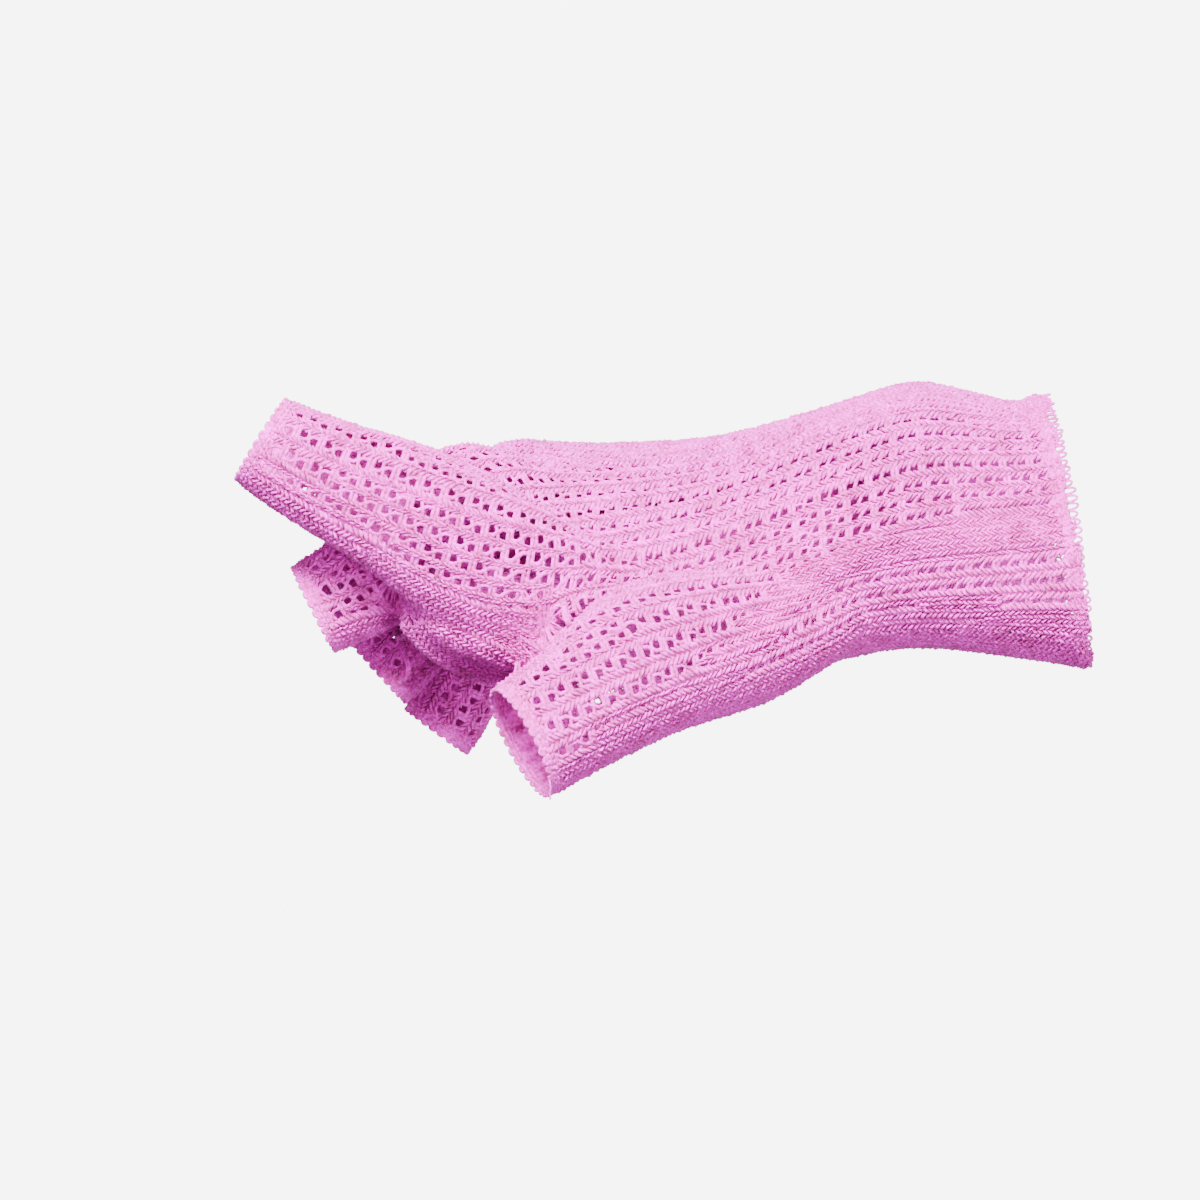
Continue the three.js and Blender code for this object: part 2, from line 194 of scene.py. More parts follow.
@dataclass(frozen=True)
class Tube:
    """A tube lofted through section rows, from the cuff side towards the tips."""

    rows: tuple[tuple[float, ...], ...]
    steps: int = 5
    segments: int = 60
    ridge_spread: float = 13.0

    def table(self) -> np.ndarray:
        """The rows with smooth rows in between.

        Returns:
            One line of eleven numbers for each section.
        """
        rows = np.array(self.rows, float)
        last = len(rows) - 1
        parts = []
        for i in range(last):
            before, start, end, after = rows[max(i - 1, 0)], rows[i], rows[i + 1], rows[min(i + 2, last)]
            t = np.arange(self.steps)[:, None] / self.steps
            parts.append(0.5 * (
                2 * start + (end - before) * t + (2 * before - 5 * start + 4 * end - after) * t**2
                + (3 * start - before - 3 * end + after) * t**3
            ))
        parts.append(rows[-1:])
        return np.concatenate(parts)

    @staticmethod
    def axes(row: np.ndarray) -> tuple[np.ndarray, np.ndarray, np.ndarray]:
        """The directions of a section.

        Args:
            row: one section row.

        Returns:
            Along towards the tips, side to the thumb, and up to the back of the glove.
        """
        roll, lean, turn = np.radians(row[5:8])
        along = np.array([
            -math.cos(lean) * math.cos(turn), -math.sin(turn), math.sin(lean) * math.cos(turn),
        ])
        level = np.array([0.0, -1.0, 0.0])
        level = unit(level - level.dot(along) * along)
        dorsal = np.cross(along, level)
        side = math.cos(roll) * level - math.sin(roll) * dorsal
        return along, side, math.cos(roll) * dorsal + math.sin(roll) * level

    def edge(self, row: np.ndarray, angles: np.ndarray, inset: float) -> np.ndarray:
        """Points on a section's edge.

        Args:
            row: one section row.
            angles: angles from the thumb side up over the back, in radians.
            inset: how far inside the outer surface the points lie.

        Returns:
            One point for each angle.
        """
        _, side, up = self.axes(row)
        away = (np.degrees(angles) - row[9] + 180) % 360 - 180
        swell = row[10] * np.exp(-((away / self.ridge_spread) ** 2))
        sideways = np.cos(angles) * (row[3] - inset + swell)
        upwards = np.sin(angles) * (row[4] - inset + swell) - row[8] * (sideways / row[3]) ** 2
        return row[:3] + sideways[:, None] * side + upwards[:, None] * up

    def mesh(self, inset: float, before: float, after: float) -> tuple[np.ndarray, list[list[int]]]:
        """The tube as a closed mesh.

        Args:
            inset: how far inside the outer surface it lies.
            before: how far it runs on past its first section.
            after: how far it runs on past its last section.

        Returns:
            Vertices and faces.
        """
        table = self.table()
        first, last = table[0].copy(), table[-1].copy()
        first[:3] -= self.axes(first)[0] * before
        last[:3] += self.axes(last)[0] * after
        rows = ([first] if before else []) + list(table) + ([last] if after else [])
        angles = np.arange(self.segments) * 2 * np.pi / self.segments
        points = np.concatenate([self.edge(row, angles, inset) for row in rows])
        n = self.segments
        faces = []
        for ring in range(len(rows) - 1):
            for i in range(n):
                a, b = ring * n + i, ring * n + (i + 1) % n
                faces.append([a, b, b + n, a + n])
        faces.append(list(range(n - 1, -1, -1)))
        faces.append([(len(rows) - 1) * n + i for i in range(n)])
        return points, faces


@dataclass
class GloveForm:
    """The whole form of the glove as one triangle mesh: palm, stalls and pad joined."""

    inset: float = 0.6
    overrun: float = 8.0
    voxel: float = 1.7
    soften: int = 6
    points: np.ndarray = field(init=False)
    triangles: np.ndarray = field(init=False)

    def __post_init__(self) -> None:
        """Join the tubes and keep the result as arrays."""
        deselect()
        vertices: list[np.ndarray] = []
        faces: list[list[int]] = []
        tubes = [(Tube(PALM_ROWS), self.overrun, 0.0), (Tube(PAD_ROWS), 0.0, 0.0)]
        tubes += [(Tube(stall.rows), 0.0, self.overrun) for stall in STALLS.values()]
        for tube, before, after in tubes:
            start = sum(len(part) for part in vertices)
            points, quads = tube.mesh(self.inset, before, after)
            vertices.append(points)
            faces += [[start + i for i in face] for face in quads]
        mesh = bpy.data.meshes.new("form")
        mesh.from_pydata((np.concatenate(vertices) * MM).tolist(), [], faces)
        item = bpy.data.objects.new("form", mesh)
        bpy.context.collection.objects.link(item)
        bpy.context.view_layer.objects.active = item
        item.select_set(True)
        join = item.modifiers.new("join", "REMESH")
        join.mode = "VOXEL"
        join.voxel_size = self.voxel * MM
        smooth = item.modifiers.new("soften", "SMOOTH")
        smooth.factor = 0.5
        smooth.iterations = self.soften
        triangulate = item.modifiers.new("triangles", "TRIANGULATE")
        for modifier in (join, smooth, triangulate):
            bpy.ops.object.modifier_apply(modifier=modifier.name)
        count = len(mesh.vertices)
        flat = np.empty(count * 3)
        mesh.vertices.foreach_get("co", flat)
        corners = np.empty(len(mesh.polygons) * 3, dtype=np.int32)
        mesh.polygons.foreach_get("vertices", corners)
        self.points = flat.reshape(-1, 3) / MM
        self.triangles = corners.reshape(-1, 3)
        bpy.data.objects.remove(item)
        bpy.data.meshes.remove(mesh)


@dataclass
class FlowField:
    """A harmonic flow over the form, from the rims of the stalls to the cuff."""

    form: GloveForm
    reach: float = 13.2
    weight_limits: tuple[float, float] = (0.02, 20.0)
    potential: np.ndarray = field(init=False)
    slopes: np.ndarray = field(init=False)
    normals: np.ndarray = field(init=False)
    heads: np.ndarray = field(init=False)
    tails: np.ndarray = field(init=False)
    weights: np.ndarray = field(init=False)
    diagonal: np.ndarray = field(init=False)
    tree: BVHTree = field(init=False)

    def __post_init__(self) -> None:
        """Solve for the flow and its directions."""
        points, triangles = self.form.points, self.form.triangles
        self.tree = BVHTree.FromPolygons(points.tolist(), triangles.tolist())
        edges = [points[triangles[:, (i + 2) % 3]] - points[triangles[:, (i + 1) % 3]] for i in range(3)]
        face_normals = np.cross(edges[2], -edges[1])
        double_area = np.maximum(np.linalg.norm(face_normals, axis=1), 1e-9)
        self._weigh(edges, double_area)
        self.normals = unit(self._to_vertices(face_normals))
        self.potential = self._flow()
        face_slopes = sum(
            self.potential[triangles[:, i]][:, None] * np.cross(face_normals, edges[i]) for i in range(3)
        ) / double_area[:, None] ** 2
        areas = np.maximum(self._to_vertices(double_area[:, None]), 1e-9)
        self.slopes = self._to_vertices(face_slopes * double_area[:, None]) / areas

    def _weigh(self, edges: list[np.ndarray], double_area: np.ndarray) -> None:
        """Give every edge its cotangent weights, once in each direction.

        Args:
            edges: the edge across from each corner, for every face.
            double_area: twice the area of every face.
        """
        triangles = self.form.triangles
        heads, tails, weights = [], [], []
        for i in range(3):
            cotangent = -(edges[(i + 1) % 3] * edges[(i + 2) % 3]).sum(1) / double_area
            heads.append(triangles[:, (i + 1) % 3])
            tails.append(triangles[:, (i + 2) % 3])
            weights.append(np.clip(cotangent, *self.weight_limits) / 2)
        self.heads = np.concatenate(heads + tails)
        self.tails = np.concatenate(tails + heads)
        self.weights = np.concatenate(weights + weights)
        self.diagonal = np.bincount(self.heads, self.weights, len(self.form.points))

    def _flow(self) -> np.ndarray:
        """The potential whose flow leaves each rim in proportion to its stitch columns.

        Returns:
            One value for each vertex, which is 0 at the cuff.
        """
        points = self.form.points
        cuff_row = np.array(PALM_ROWS[0], float)
        cuff = (points - cuff_row[:3]) @ Tube.axes(cuff_row)[0] < 0
        rims = []
        for stall in STALLS.values():
            last = np.array(stall.rows[-1], float)
            offset = points - last[:3]
            rims.append((offset @ Tube.axes(last)[0] > 0) & (np.linalg.norm(offset, axis=1) < self.reach))
        fixed = cuff | np.any(rims, axis=0)
        fields = [self._solve(fixed, rim.astype(float)) for rim in rims]
        flux = np.array([[self._spread(one)[rim].sum() for one in fields] for rim in rims])
        shares = np.linalg.solve(flux, np.array([float(stall.wales) for stall in STALLS.values()]))
        return np.tensordot(shares, np.array(fields), 1)

    def _to_vertices(self, values: np.ndarray) -> np.ndarray:
        """Add up a value of each face at its corners.

        Args:
            values: one row of numbers for each face.

        Returns:
            One row of numbers for each vertex.
        """
        corners = self.form.triangles.ravel()
        repeated = np.repeat(values, 3, axis=0)
        count = len(self.form.points)
        return np.stack([np.bincount(corners, column, count) for column in repeated.T], 1)

    def _spread(self, values: np.ndarray) -> np.ndarray:
        """The Laplacian of a value given at each vertex."""
        passed = np.bincount(self.heads, self.weights * values[self.tails], len(values))
        return self.diagonal * values - passed

    def _solve(self, fixed: np.ndarray, values: np.ndarray, rounds: int = 900) -> np.ndarray:
        """The harmonic function with given values, by conjugate gradients.

        Args:
            fixed: which vertices keep their value.
            values: the values to keep.
            rounds: the most steps that the solver takes.

        Returns:
            One value for each vertex.
        """
        result = np.where(fixed, values, 0.0)
        residual = np.where(fixed, 0.0, -self._spread(result))
        scaled = residual / self.diagonal
        direction = scaled.copy()
        energy = residual @ scaled
        goal = energy * 1e-14
        for _ in range(rounds):
            image = np.where(fixed, 0.0, self._spread(direction))
            step = energy / (direction @ image)
            result += step * direction
            residual -= step * image
            scaled = residual / self.diagonal
            fresh = residual @ scaled
            if fresh < goal:
                break
            direction = scaled + (fresh / energy) * direction
            energy = fresh
        return result

    def sample(self, spot: np.ndarray) -> tuple[np.ndarray, np.ndarray, np.ndarray, float]:
        """The form and the flow nearest to a place.

        Args:
            spot: any point near the form.

        Returns:
            The nearest point, its normal, the slope of the flow there and its potential.
        """
        nearest, _, face, _ = self.tree.find_nearest(Vector(spot))
        point = np.array(nearest)
        corners = self.form.triangles[face]
        a, b, c = self.form.points[corners]
        u, v, w = b - a, c - a, point - a
        uu, uv, vv, wu, wv = u @ u, u @ v, v @ v, w @ u, w @ v
        scale = max(uu * vv - uv * uv, 1e-12)
        s, t = (vv * wu - uv * wv) / scale, (uu * wv - uv * wu) / scale
        shares = np.array([1 - s - t, s, t])
        return (
            point, unit(shares @ self.normals[corners]), shares @ self.slopes[corners],
            float(shares @ self.potential[corners]),
        )


@dataclass(eq=False)
class Wale:
    """One lengthwise column of stitches, as points from the cuff towards a rim."""

    finger: Finger
    points: np.ndarray
    normals: np.ndarray
    angle: float = 0.0
    order: int = 0
    rim_cells: float | None = None
    cells: np.ndarray = field(init=False)
    run: np.ndarray = field(init=False)
    before: np.ndarray = field(init=False)
    after: np.ndarray = field(init=False)
    lace: np.ndarray = field(init=False)

    def __post_init__(self) -> None:
        """Measure the column along its length, and set its half widths on both sides."""
        gaps = np.linalg.norm(np.diff(self.points, axis=0), axis=1)
        self.run = np.concatenate([[0], np.cumsum(gaps)])
        self.cells = self.run.copy()
        self.before = np.zeros(len(self.run))
        self.after = np.zeros(len(self.run))
        self.lace = np.ones(len(self.run))

    @property
    def length(self) -> float:
        """Its length in millimetres."""
        return float(self.run[-1])

    def at(self, cells: np.ndarray) -> tuple[np.ndarray, np.ndarray]:
        """Points and normals at distances counted in eyelet cells."""
        return between(cells, self.cells, self.points), unit(between(cells, self.cells, self.normals))


@dataclass
class WaleTracer:
    """Traces the columns down the flow, from each rim to the cuff."""

    flow: FlowField
    margin: float = 2.0
    step: float = 1.2
    samples: int = 120
    most_steps: int = 260
    seed_back: float = 0.6
    straight: float = 0.35

    def trace(self) -> list[Wale]:
        """Trace all the columns.

        Returns:
            The columns, in order of their angle at the cuff.
        """
        wales = []
        for finger, stall in STALLS.items():
            own = [self._trace_one(finger, seed) for seed in self._seeds(stall)]
            rows = round((float(np.mean([wale.length for wale in own])) - self.margin) / CELL)
            for order, wale in enumerate(own):
                wale.order = order
                self._count_cells(wale, rows)
                wale.rim_cells = float(wale.cells[-1])
            wales += own
        return sorted(wales, key=lambda wale: wale.angle)

    def _seeds(self, stall: Stall) -> np.ndarray:
        """Places around a rim with an equal share of the flow between them.

        Args:
            stall: the stall that the rim belongs to.

        Returns:
            One point for each of its columns.
        """
        row = np.array(stall.rows[-1], float)
        angles = np.arange(self.samples) * 2 * np.pi / self.samples
        ring = Tube(stall.rows).edge(row, angles, self.flow.form.inset)
        ring -= Tube.axes(row)[0] * self.seed_back
        found = [self.flow.sample(spot) for spot in ring]
        spots = np.array([one[0] for one in found])
        speed = np.array([np.linalg.norm(one[2]) for one in found])
        gaps = np.linalg.norm(np.roll(spots, -1, 0) - spots, axis=1)
        passed = np.concatenate([[0], np.cumsum(gaps * (speed + np.roll(speed, -1)) / 2)])
        wanted = (np.arange(stall.wales) + 0.5) / stall.wales * passed[-1]
        return between(wanted, passed, np.concatenate([spots, spots[:1]]))

    def _trace_one(self, finger: Finger, seed: np.ndarray) -> Wale:
        """Trace one column from the rim to the plane of the cuff.

        Args:
            finger: the stall that it belongs to.
            seed: where it starts at the rim.

        Returns:
            The column, turned to run from the cuff.
        """
        cuff_row = np.array(PALM_ROWS[0], float)
        along, side, up = Tube.axes(cuff_row)
        point, normal, slope, _ = self.flow.sample(seed)
        points, normals = [point], [normal]
        for _ in range(self.most_steps):
            half = point - unit(slope) * self.step / 2
            _, _, middle_slope, _ = self.flow.sample(half)
            point, normal, slope, _ = self.flow.sample(point - unit(middle_slope) * self.step)
            points.append(point)
            normals.append(normal)
            if (point - cuff_row[:3]) @ along < 0:
                break
        offset = points[-1] - cuff_row[:3]
        angle = math.degrees(math.atan2(offset @ up, offset @ side)) % 360
        return Wale(finger, np.array(points[::-1]), np.array(normals[::-1]), angle)

    def _count_cells(self, wale: Wale, rows: int) -> None:
        """Number a column's length in cells, so that every column of a stall has as many.

        Args:
            wale: the column.
            rows: how many cells it gets. Those next to the cuff keep their length.
        """
        share = np.clip((wale.run / wale.length - self.straight) / (1 - self.straight), 0, 1)
        wale.cells = (wale.run - self.margin) / CELL
        wale.cells = wale.cells + (rows - wale.cells[-1]) * share**2 * (3 - 2 * share)


@dataclass
class Strip:
    """The lace between two neighbouring columns, over a stretch of cells."""

    a: Wale
    b: Wale
    start: float
    end: float

    def place(
        self, cells: np.ndarray, across: np.ndarray, lift: np.ndarray
    ) -> tuple[np.ndarray, np.ndarray]:
        """Points and normals in the strip.

        Args:
            cells: distances from the cuff, in cells.
            across: 0 on the first column and 1 on the second.
            lift: height over the form.

        Returns:
            Points and normals.
        """
        first, first_normal = self.a.at(cells)
        second, second_normal = self.b.at(cells)
        across = np.asarray(across, float)[..., None]
        width = np.linalg.norm(second - first, axis=-1, keepdims=True)
        cosine = np.clip((first_normal * second_normal).sum(-1, keepdims=True), -1, 1)
        sagitta = width / 2 * np.tan(np.arccos(cosine) / 4)
        normals = unit(first_normal * (1 - across) + second_normal * across)
        points = first * (1 - across) + second * across
        height = np.asarray(lift, float)[..., None] + sagitta * 4 * across * (1 - across)
        return points + normals * height, normals

    def line(self, cells: np.ndarray, share: float) -> tuple[np.ndarray, np.ndarray]:
        """Points and normals along the strip, at one share of the way across."""
        return self.place(cells, np.full(len(cells), share), np.zeros(len(cells)))

    def width(self, cells: np.ndarray) -> np.ndarray:
        """The distance between the two columns."""
        return np.linalg.norm(self.a.at(cells)[0] - self.b.at(cells)[0], axis=-1)


@dataclass
class YarnMesh:
    """Collects many short yarn tubes and makes one mesh of them."""

    vertices: list[np.ndarray] = field(default_factory=list)
    quads: list[np.ndarray] = field(default_factory=list)
    caps: list[np.ndarray] = field(default_factory=list)
    total: int = 0

    def add(
        self, centres: np.ndarray, normals: np.ndarray, wide: np.ndarray, high: np.ndarray, sides: int = 5
    ) -> None:
        """Add tubes that all have the same number of rings.

        Args:
            centres: tube, ring and coordinate.
            normals: the outward direction at each ring.
            wide: half width of each ring along the surface.
            high: half height of each ring.
            sides: corners of a ring.
        """
        tubes, rings = centres.shape[:2]
        if not tubes:
            return
        tangents = unit(np.gradient(centres, axis=1))
        across = unit(np.cross(tangents, normals))
        outward = np.cross(across, tangents)
        angles = np.arange(sides) * 2 * np.pi / sides + np.pi / 2
        breadth = np.broadcast_to(wide, (tubes, rings))[:, :, None, None]
        height = np.broadcast_to(high, (tubes, rings))[:, :, None, None]
        ring = across[:, :, None] * (np.cos(angles)[:, None] * breadth)
        ring = ring + outward[:, :, None] * (np.sin(angles)[:, None] * height)
        self.vertices.append((centres[:, :, None] + ring).reshape(-1, 3))
        number = self.total + np.arange(tubes * rings * sides).reshape(tubes, rings, sides)
        after = np.roll(number, -1, axis=2)
        quads = np.stack([number[:, :-1], number[:, 1:], after[:, 1:], after[:, :-1]], -1)
        self.quads.append(quads.reshape(-1, 4))
        for i in range(1, sides - 1):
            self.caps.append(np.stack([number[:, 0, 0], number[:, 0, i], number[:, 0, i + 1]], -1))
            self.caps.append(np.stack([number[:, -1, 0], number[:, -1, i + 1], number[:, -1, i]], -1))
        self.total += tubes * rings * sides

    def triangles(self) -> int:
        """How many triangles the mesh has."""
        return 2 * sum(len(part) for part in self.quads) + sum(len(part) for part in self.caps)

    def build(self, name: str) -> bpy.types.Object:
        """Make the object, in metres and smoothly shaded.

        Args:
            name: the name of the object and its mesh.

        Returns:
            The object, linked to the scene.
        """
        points = np.concatenate(self.vertices) * MM
        quads, caps = np.concatenate(self.quads), np.concatenate(self.caps)
        mesh = bpy.data.meshes.new(name)
        mesh.vertices.add(len(points))
        mesh.vertices.foreach_set("co", points.ravel())
        mesh.loops.add(quads.size + caps.size)
        mesh.loops.foreach_set("vertex_index", np.concatenate([quads.ravel(), caps.ravel()]))
        mesh.polygons.add(len(quads) + len(caps))
        starts = np.concatenate([np.arange(len(quads)) * 4, quads.size + np.arange(len(caps)) * 3])
        mesh.polygons.foreach_set("loop_start", starts)
        mesh.polygons.foreach_set("use_smooth", np.ones(len(starts), bool))
        mesh.update(calc_edges=True)
        mesh.validate()
        item = bpy.data.objects.new(name, mesh)
        bpy.context.collection.objects.link(item)
        return item


@dataclass(frozen=True)
class YarnFinish:
    """Matt cotton yarn: a pink with soft variation, fine flecks and fuzz, and a little sheen."""

    name: str
    colour: tuple[float, float, float]
    pale: tuple[float, float, float]
    roughness: float = 0.85
    sheen: float = 0.1
    sheen_roughness: float = 0.5
    sheen_tint: tuple[float, float, float] = (0.8, 1.0, 0.82)
    specular: float = 0.08
    patch_scale: float = 260.0
    fleck_scale: float = 1500.0
    fuzz_scale: float = 2600.0
    patch_share: float = 0.35
    ramp: tuple[float, float] = (0.36, 0.64)
    bump: float = 0.4
    bump_depth: float = 0.3

    def material(self) -> bpy.types.Material:
        """Make the material.

        Returns:
            A material with the yarn's colours, roughness and fine bump.
        """
        material = bpy.data.materials.new(self.name)
        material.use_nodes = True
        nodes, links = material.node_tree.nodes, material.node_tree.links
        shader = nodes["Principled BSDF"]
        for socket, value in (
            ("Roughness", self.roughness),
            ("Sheen Weight", self.sheen),
            ("Sheen Roughness", self.sheen_roughness),
            ("Sheen Tint", (*self.sheen_tint, 1.0)),
            ("Specular IOR Level", self.specular),
        ):
            shader.inputs[socket].default_value = value
        place = nodes.new("ShaderNodeTexCoord")
        patch, fleck, fuzz = (
            self._noise(material.node_tree, place, scale, detail)
            for scale, detail in ((self.patch_scale, 3.0), (self.fleck_scale, 2.0), (self.fuzz_scale, 2.0))
        )
        weighed = nodes.new("ShaderNodeMath")
        weighed.operation = "MULTIPLY"
        weighed.inputs[1].default_value = 1 - self.patch_share
        links.new(fleck.outputs["Fac"], weighed.inputs[0])
        blend = nodes.new("ShaderNodeMath")
        blend.operation = "MULTIPLY_ADD"
        blend.inputs[1].default_value = self.patch_share
        links.new(patch.outputs["Fac"], blend.inputs[0])
        links.new(weighed.outputs["Value"], blend.inputs[2])
        ramp = nodes.new("ShaderNodeValToRGB")
        for stop, position, colour in zip(ramp.color_ramp.elements, self.ramp, (self.colour, self.pale)):
            stop.position = position
            stop.color = (*colour, 1)
        links.new(blend.outputs["Value"], ramp.inputs["Fac"])
        links.new(ramp.outputs["Color"], shader.inputs["Base Color"])
        bump = nodes.new("ShaderNodeBump")
        bump.inputs["Strength"].default_value = self.bump
        bump.inputs["Distance"].default_value = self.bump_depth * MM
        links.new(fuzz.outputs["Fac"], bump.inputs["Height"])
        links.new(bump.outputs["Normal"], shader.inputs["Normal"])
        return material

    @staticmethod
    def _noise(
        tree: bpy.types.NodeTree, place: bpy.types.Node, scale: float, detail: float
    ) -> bpy.types.Node:
        """Add one noise that is fixed to the piece.

        Args:
            tree: the material's nodes.
            place: the node that gives coordinates.
            scale: how fine the noise is.
            detail: how many finer layers it has.

        Returns:
            The noise node.
        """
        noise = tree.nodes.new("ShaderNodeTexNoise")
        noise.inputs["Scale"].default_value = scale
        noise.inputs["Detail"].default_value = detail
        tree.links.new(place.outputs["Object"], noise.inputs["Vector"])
        return noise


@dataclass
class StitchColumn:
    """Sizes of the stitches that make a column: two rows of slanted legs over a thin core.

    The sizes in threes belong to a leg's foot, middle and tip: how far along and across they lie,
    how much farther across where the knit is dense, how high, and how thick.
    """

    pitch: float = 1.08
    reach: float = 1.55
    starts_before: float = 0.7
    ends_before: float = 0.25
    row_shift: float = 0.25
    usual_width: float = 1.6
    leg_wide: float = 0.36
    leg_high: float = 0.5
    leg_along: tuple[float, float, float] = (0.0, 0.5, 1.0)
    leg_across: tuple[float, float, float] = (0.06, 0.5, 0.9)
    dense_across: tuple[float, float, float] = (0.0, 0.04, 0.13)
    leg_lift: tuple[float, float, float] = (0.1, 0.32, -0.16)
    leg_thin: tuple[float, float, float] = (0.7, 1.0, 0.7)
    least_scale: float = 0.6
    most_scale: float = 1.2
    more_where_dense: float = 0.55
    slit_slant: float = 0.17
    core_step: float = 1.5
    core_wide: float = 0.4
    core_wider_where_dense: float = 0.13
    core_high: float = 0.3
    core_depth: float = 0.3
    jitter: float = 0.08
    thickness_jitter: float = 0.12

    def lay(self, mesh: YarnMesh, wale: Wale, low: float, high: float, chance: np.random.Generator) -> None:
        """Lay the stitches of part of a column.

        Args:
            mesh: the mesh that takes them.
            wale: the column.
            low: where the part starts, in millimetres along the column.
            high: where it ends.
            chance: the source of small irregularities.
        """
        first, last = low - self.starts_before * self.reach, high - self.ends_before * self.reach
        starts = np.arange(first, last, self.pitch)
        each = (len(starts), 1)
        flip_from = STALLS[wale.finger].flip_from
        for turn, half in ((-1, wale.after), (1, wale.before)):
            offset = self.pitch * self.row_shift * turn
            places = np.clip(starts[:, None] + offset + np.array(self.leg_along) * self.reach, low, high)
            points, normals, side = self.frame(wale, places)
            cells = np.interp(places, wale.run, wale.cells)
            lace = np.interp(places, wale.run, wale.lace)
            lean = np.where(cells < flip_from, 1, -1)
            sway = turn * lean * self.slit_slant * (2 * ((cells * 2) % 1) - 1) * lace
            width = np.interp(places, wale.run, half) * (1 + sway)
            scatter = chance.normal(0, self.jitter, each)
            across = np.array(self.leg_across) + (1 - lace) * np.array(self.dense_across)
            sideways = turn * width * across + scatter
            lift = np.array(self.leg_lift) + chance.normal(0, self.jitter, each)
            centres = points + side * sideways[..., None] + normals * lift[..., None]
            thin = np.array(self.leg_thin) * (1 + chance.normal(0, self.thickness_jitter, each))
            most = self.most_scale + self.more_where_dense * (1 - lace)
            scale = np.clip(width / self.usual_width, self.least_scale, most)
            mesh.add(centres, normals, self.leg_wide * thin * scale, self.leg_high * thin, 4)
        self._lay_core(mesh, wale, low, high)

    def _lay_core(self, mesh: YarnMesh, wale: Wale, low: float, high: float) -> None:
        """Lay the flat ribbon that lies behind the legs.

        Args:
            mesh: the mesh that takes it.
            wale: the column.
            low: where it starts, in millimetres along the column.
            high: where it ends.
        """
        rings = max(int((high - low) / self.core_step), 2)
        places = np.linspace(low, high, rings + 1)[None]
        points, normals, side = self.frame(wale, places)
        before, after = np.interp(places, wale.run, wale.before), np.interp(places, wale.run, wale.after)
        centres = points + side * ((before - after) / 2)[..., None] - normals * self.core_depth
        closed = 1 - np.interp(places, wale.run, wale.lace)
        wide = (before + after) * (self.core_wide + self.core_wider_where_dense * closed)
        mesh.add(centres, normals, wide, np.full_like(before, self.core_high), 6)

    @staticmethod
    def frame(wale: Wale, places: np.ndarray) -> tuple[np.ndarray, np.ndarray, np.ndarray]:
        """Where a column runs.

        Args:
            wale: the column.
            places: distances along it, in millimetres.

        Returns:
            Points, normals and sideways directions.
        """
        points, ahead, behind = (between(places + step, wale.run, wale.points) for step in (0, 0.5, -0.5))
        normals = unit(between(places, wale.run, wale.normals))
        return points, normals, unit(np.cross(normals, ahead - behind))


@dataclass
class Fuzz:
    """Fine loose fibres that stand off the yarn."""

    spacing: float = 1.15
    length: float = 0.75
    lengths: tuple[float, float] = (0.5, 1.3)
    thickness: float = 0.028
    thins_to: tuple[float, float, float] = (1.0, 0.85, 0.35)
    spread: float = 0.95
    root_lift: float = 0.3
    upright: float = 0.55
    disorder: float = 0.6
    bend: float = 0.25

    def lay(self, mesh: YarnMesh, wale: Wale, low: float, high: float, chance: np.random.Generator) -> None:
        """Lay the fibres of part of a column.

        Args:
            mesh: the mesh that takes them.
            wale: the column.
            low: where the part starts, in millimetres along the column.
            high: where it ends.
            chance: the source of their places and directions.
        """
        count = int((high - low) / self.spacing)
        places = chance.uniform(low, high, (count, 1))
        points, normals, side = StitchColumn.frame(wale, places)
        across = chance.uniform(-self.spread, self.spread, (count, 1))
        before, after = np.interp(places, wale.run, wale.before), np.interp(places, wale.run, wale.after)
        half = np.where(across < 0, after, before)
        root = points + side * (across * half)[..., None] + normals * self.root_lift
        lean = unit(normals * self.upright + chance.normal(0, self.disorder, (count, 1, 3)))
        bend = chance.normal(0, self.bend, (count, 1, 3))
        reach = self.length * chance.uniform(*self.lengths, (count, 1, 1))
        share = np.array([0.0, 0.5, 1.0])[None, :, None]
        centres = root + (lean * share + bend * share**2) * reach
        size = np.broadcast_to(self.thickness * np.array(self.thins_to), (count, 3))
        mesh.add(centres, side * np.ones((1, 3, 1)), size, size, 3)


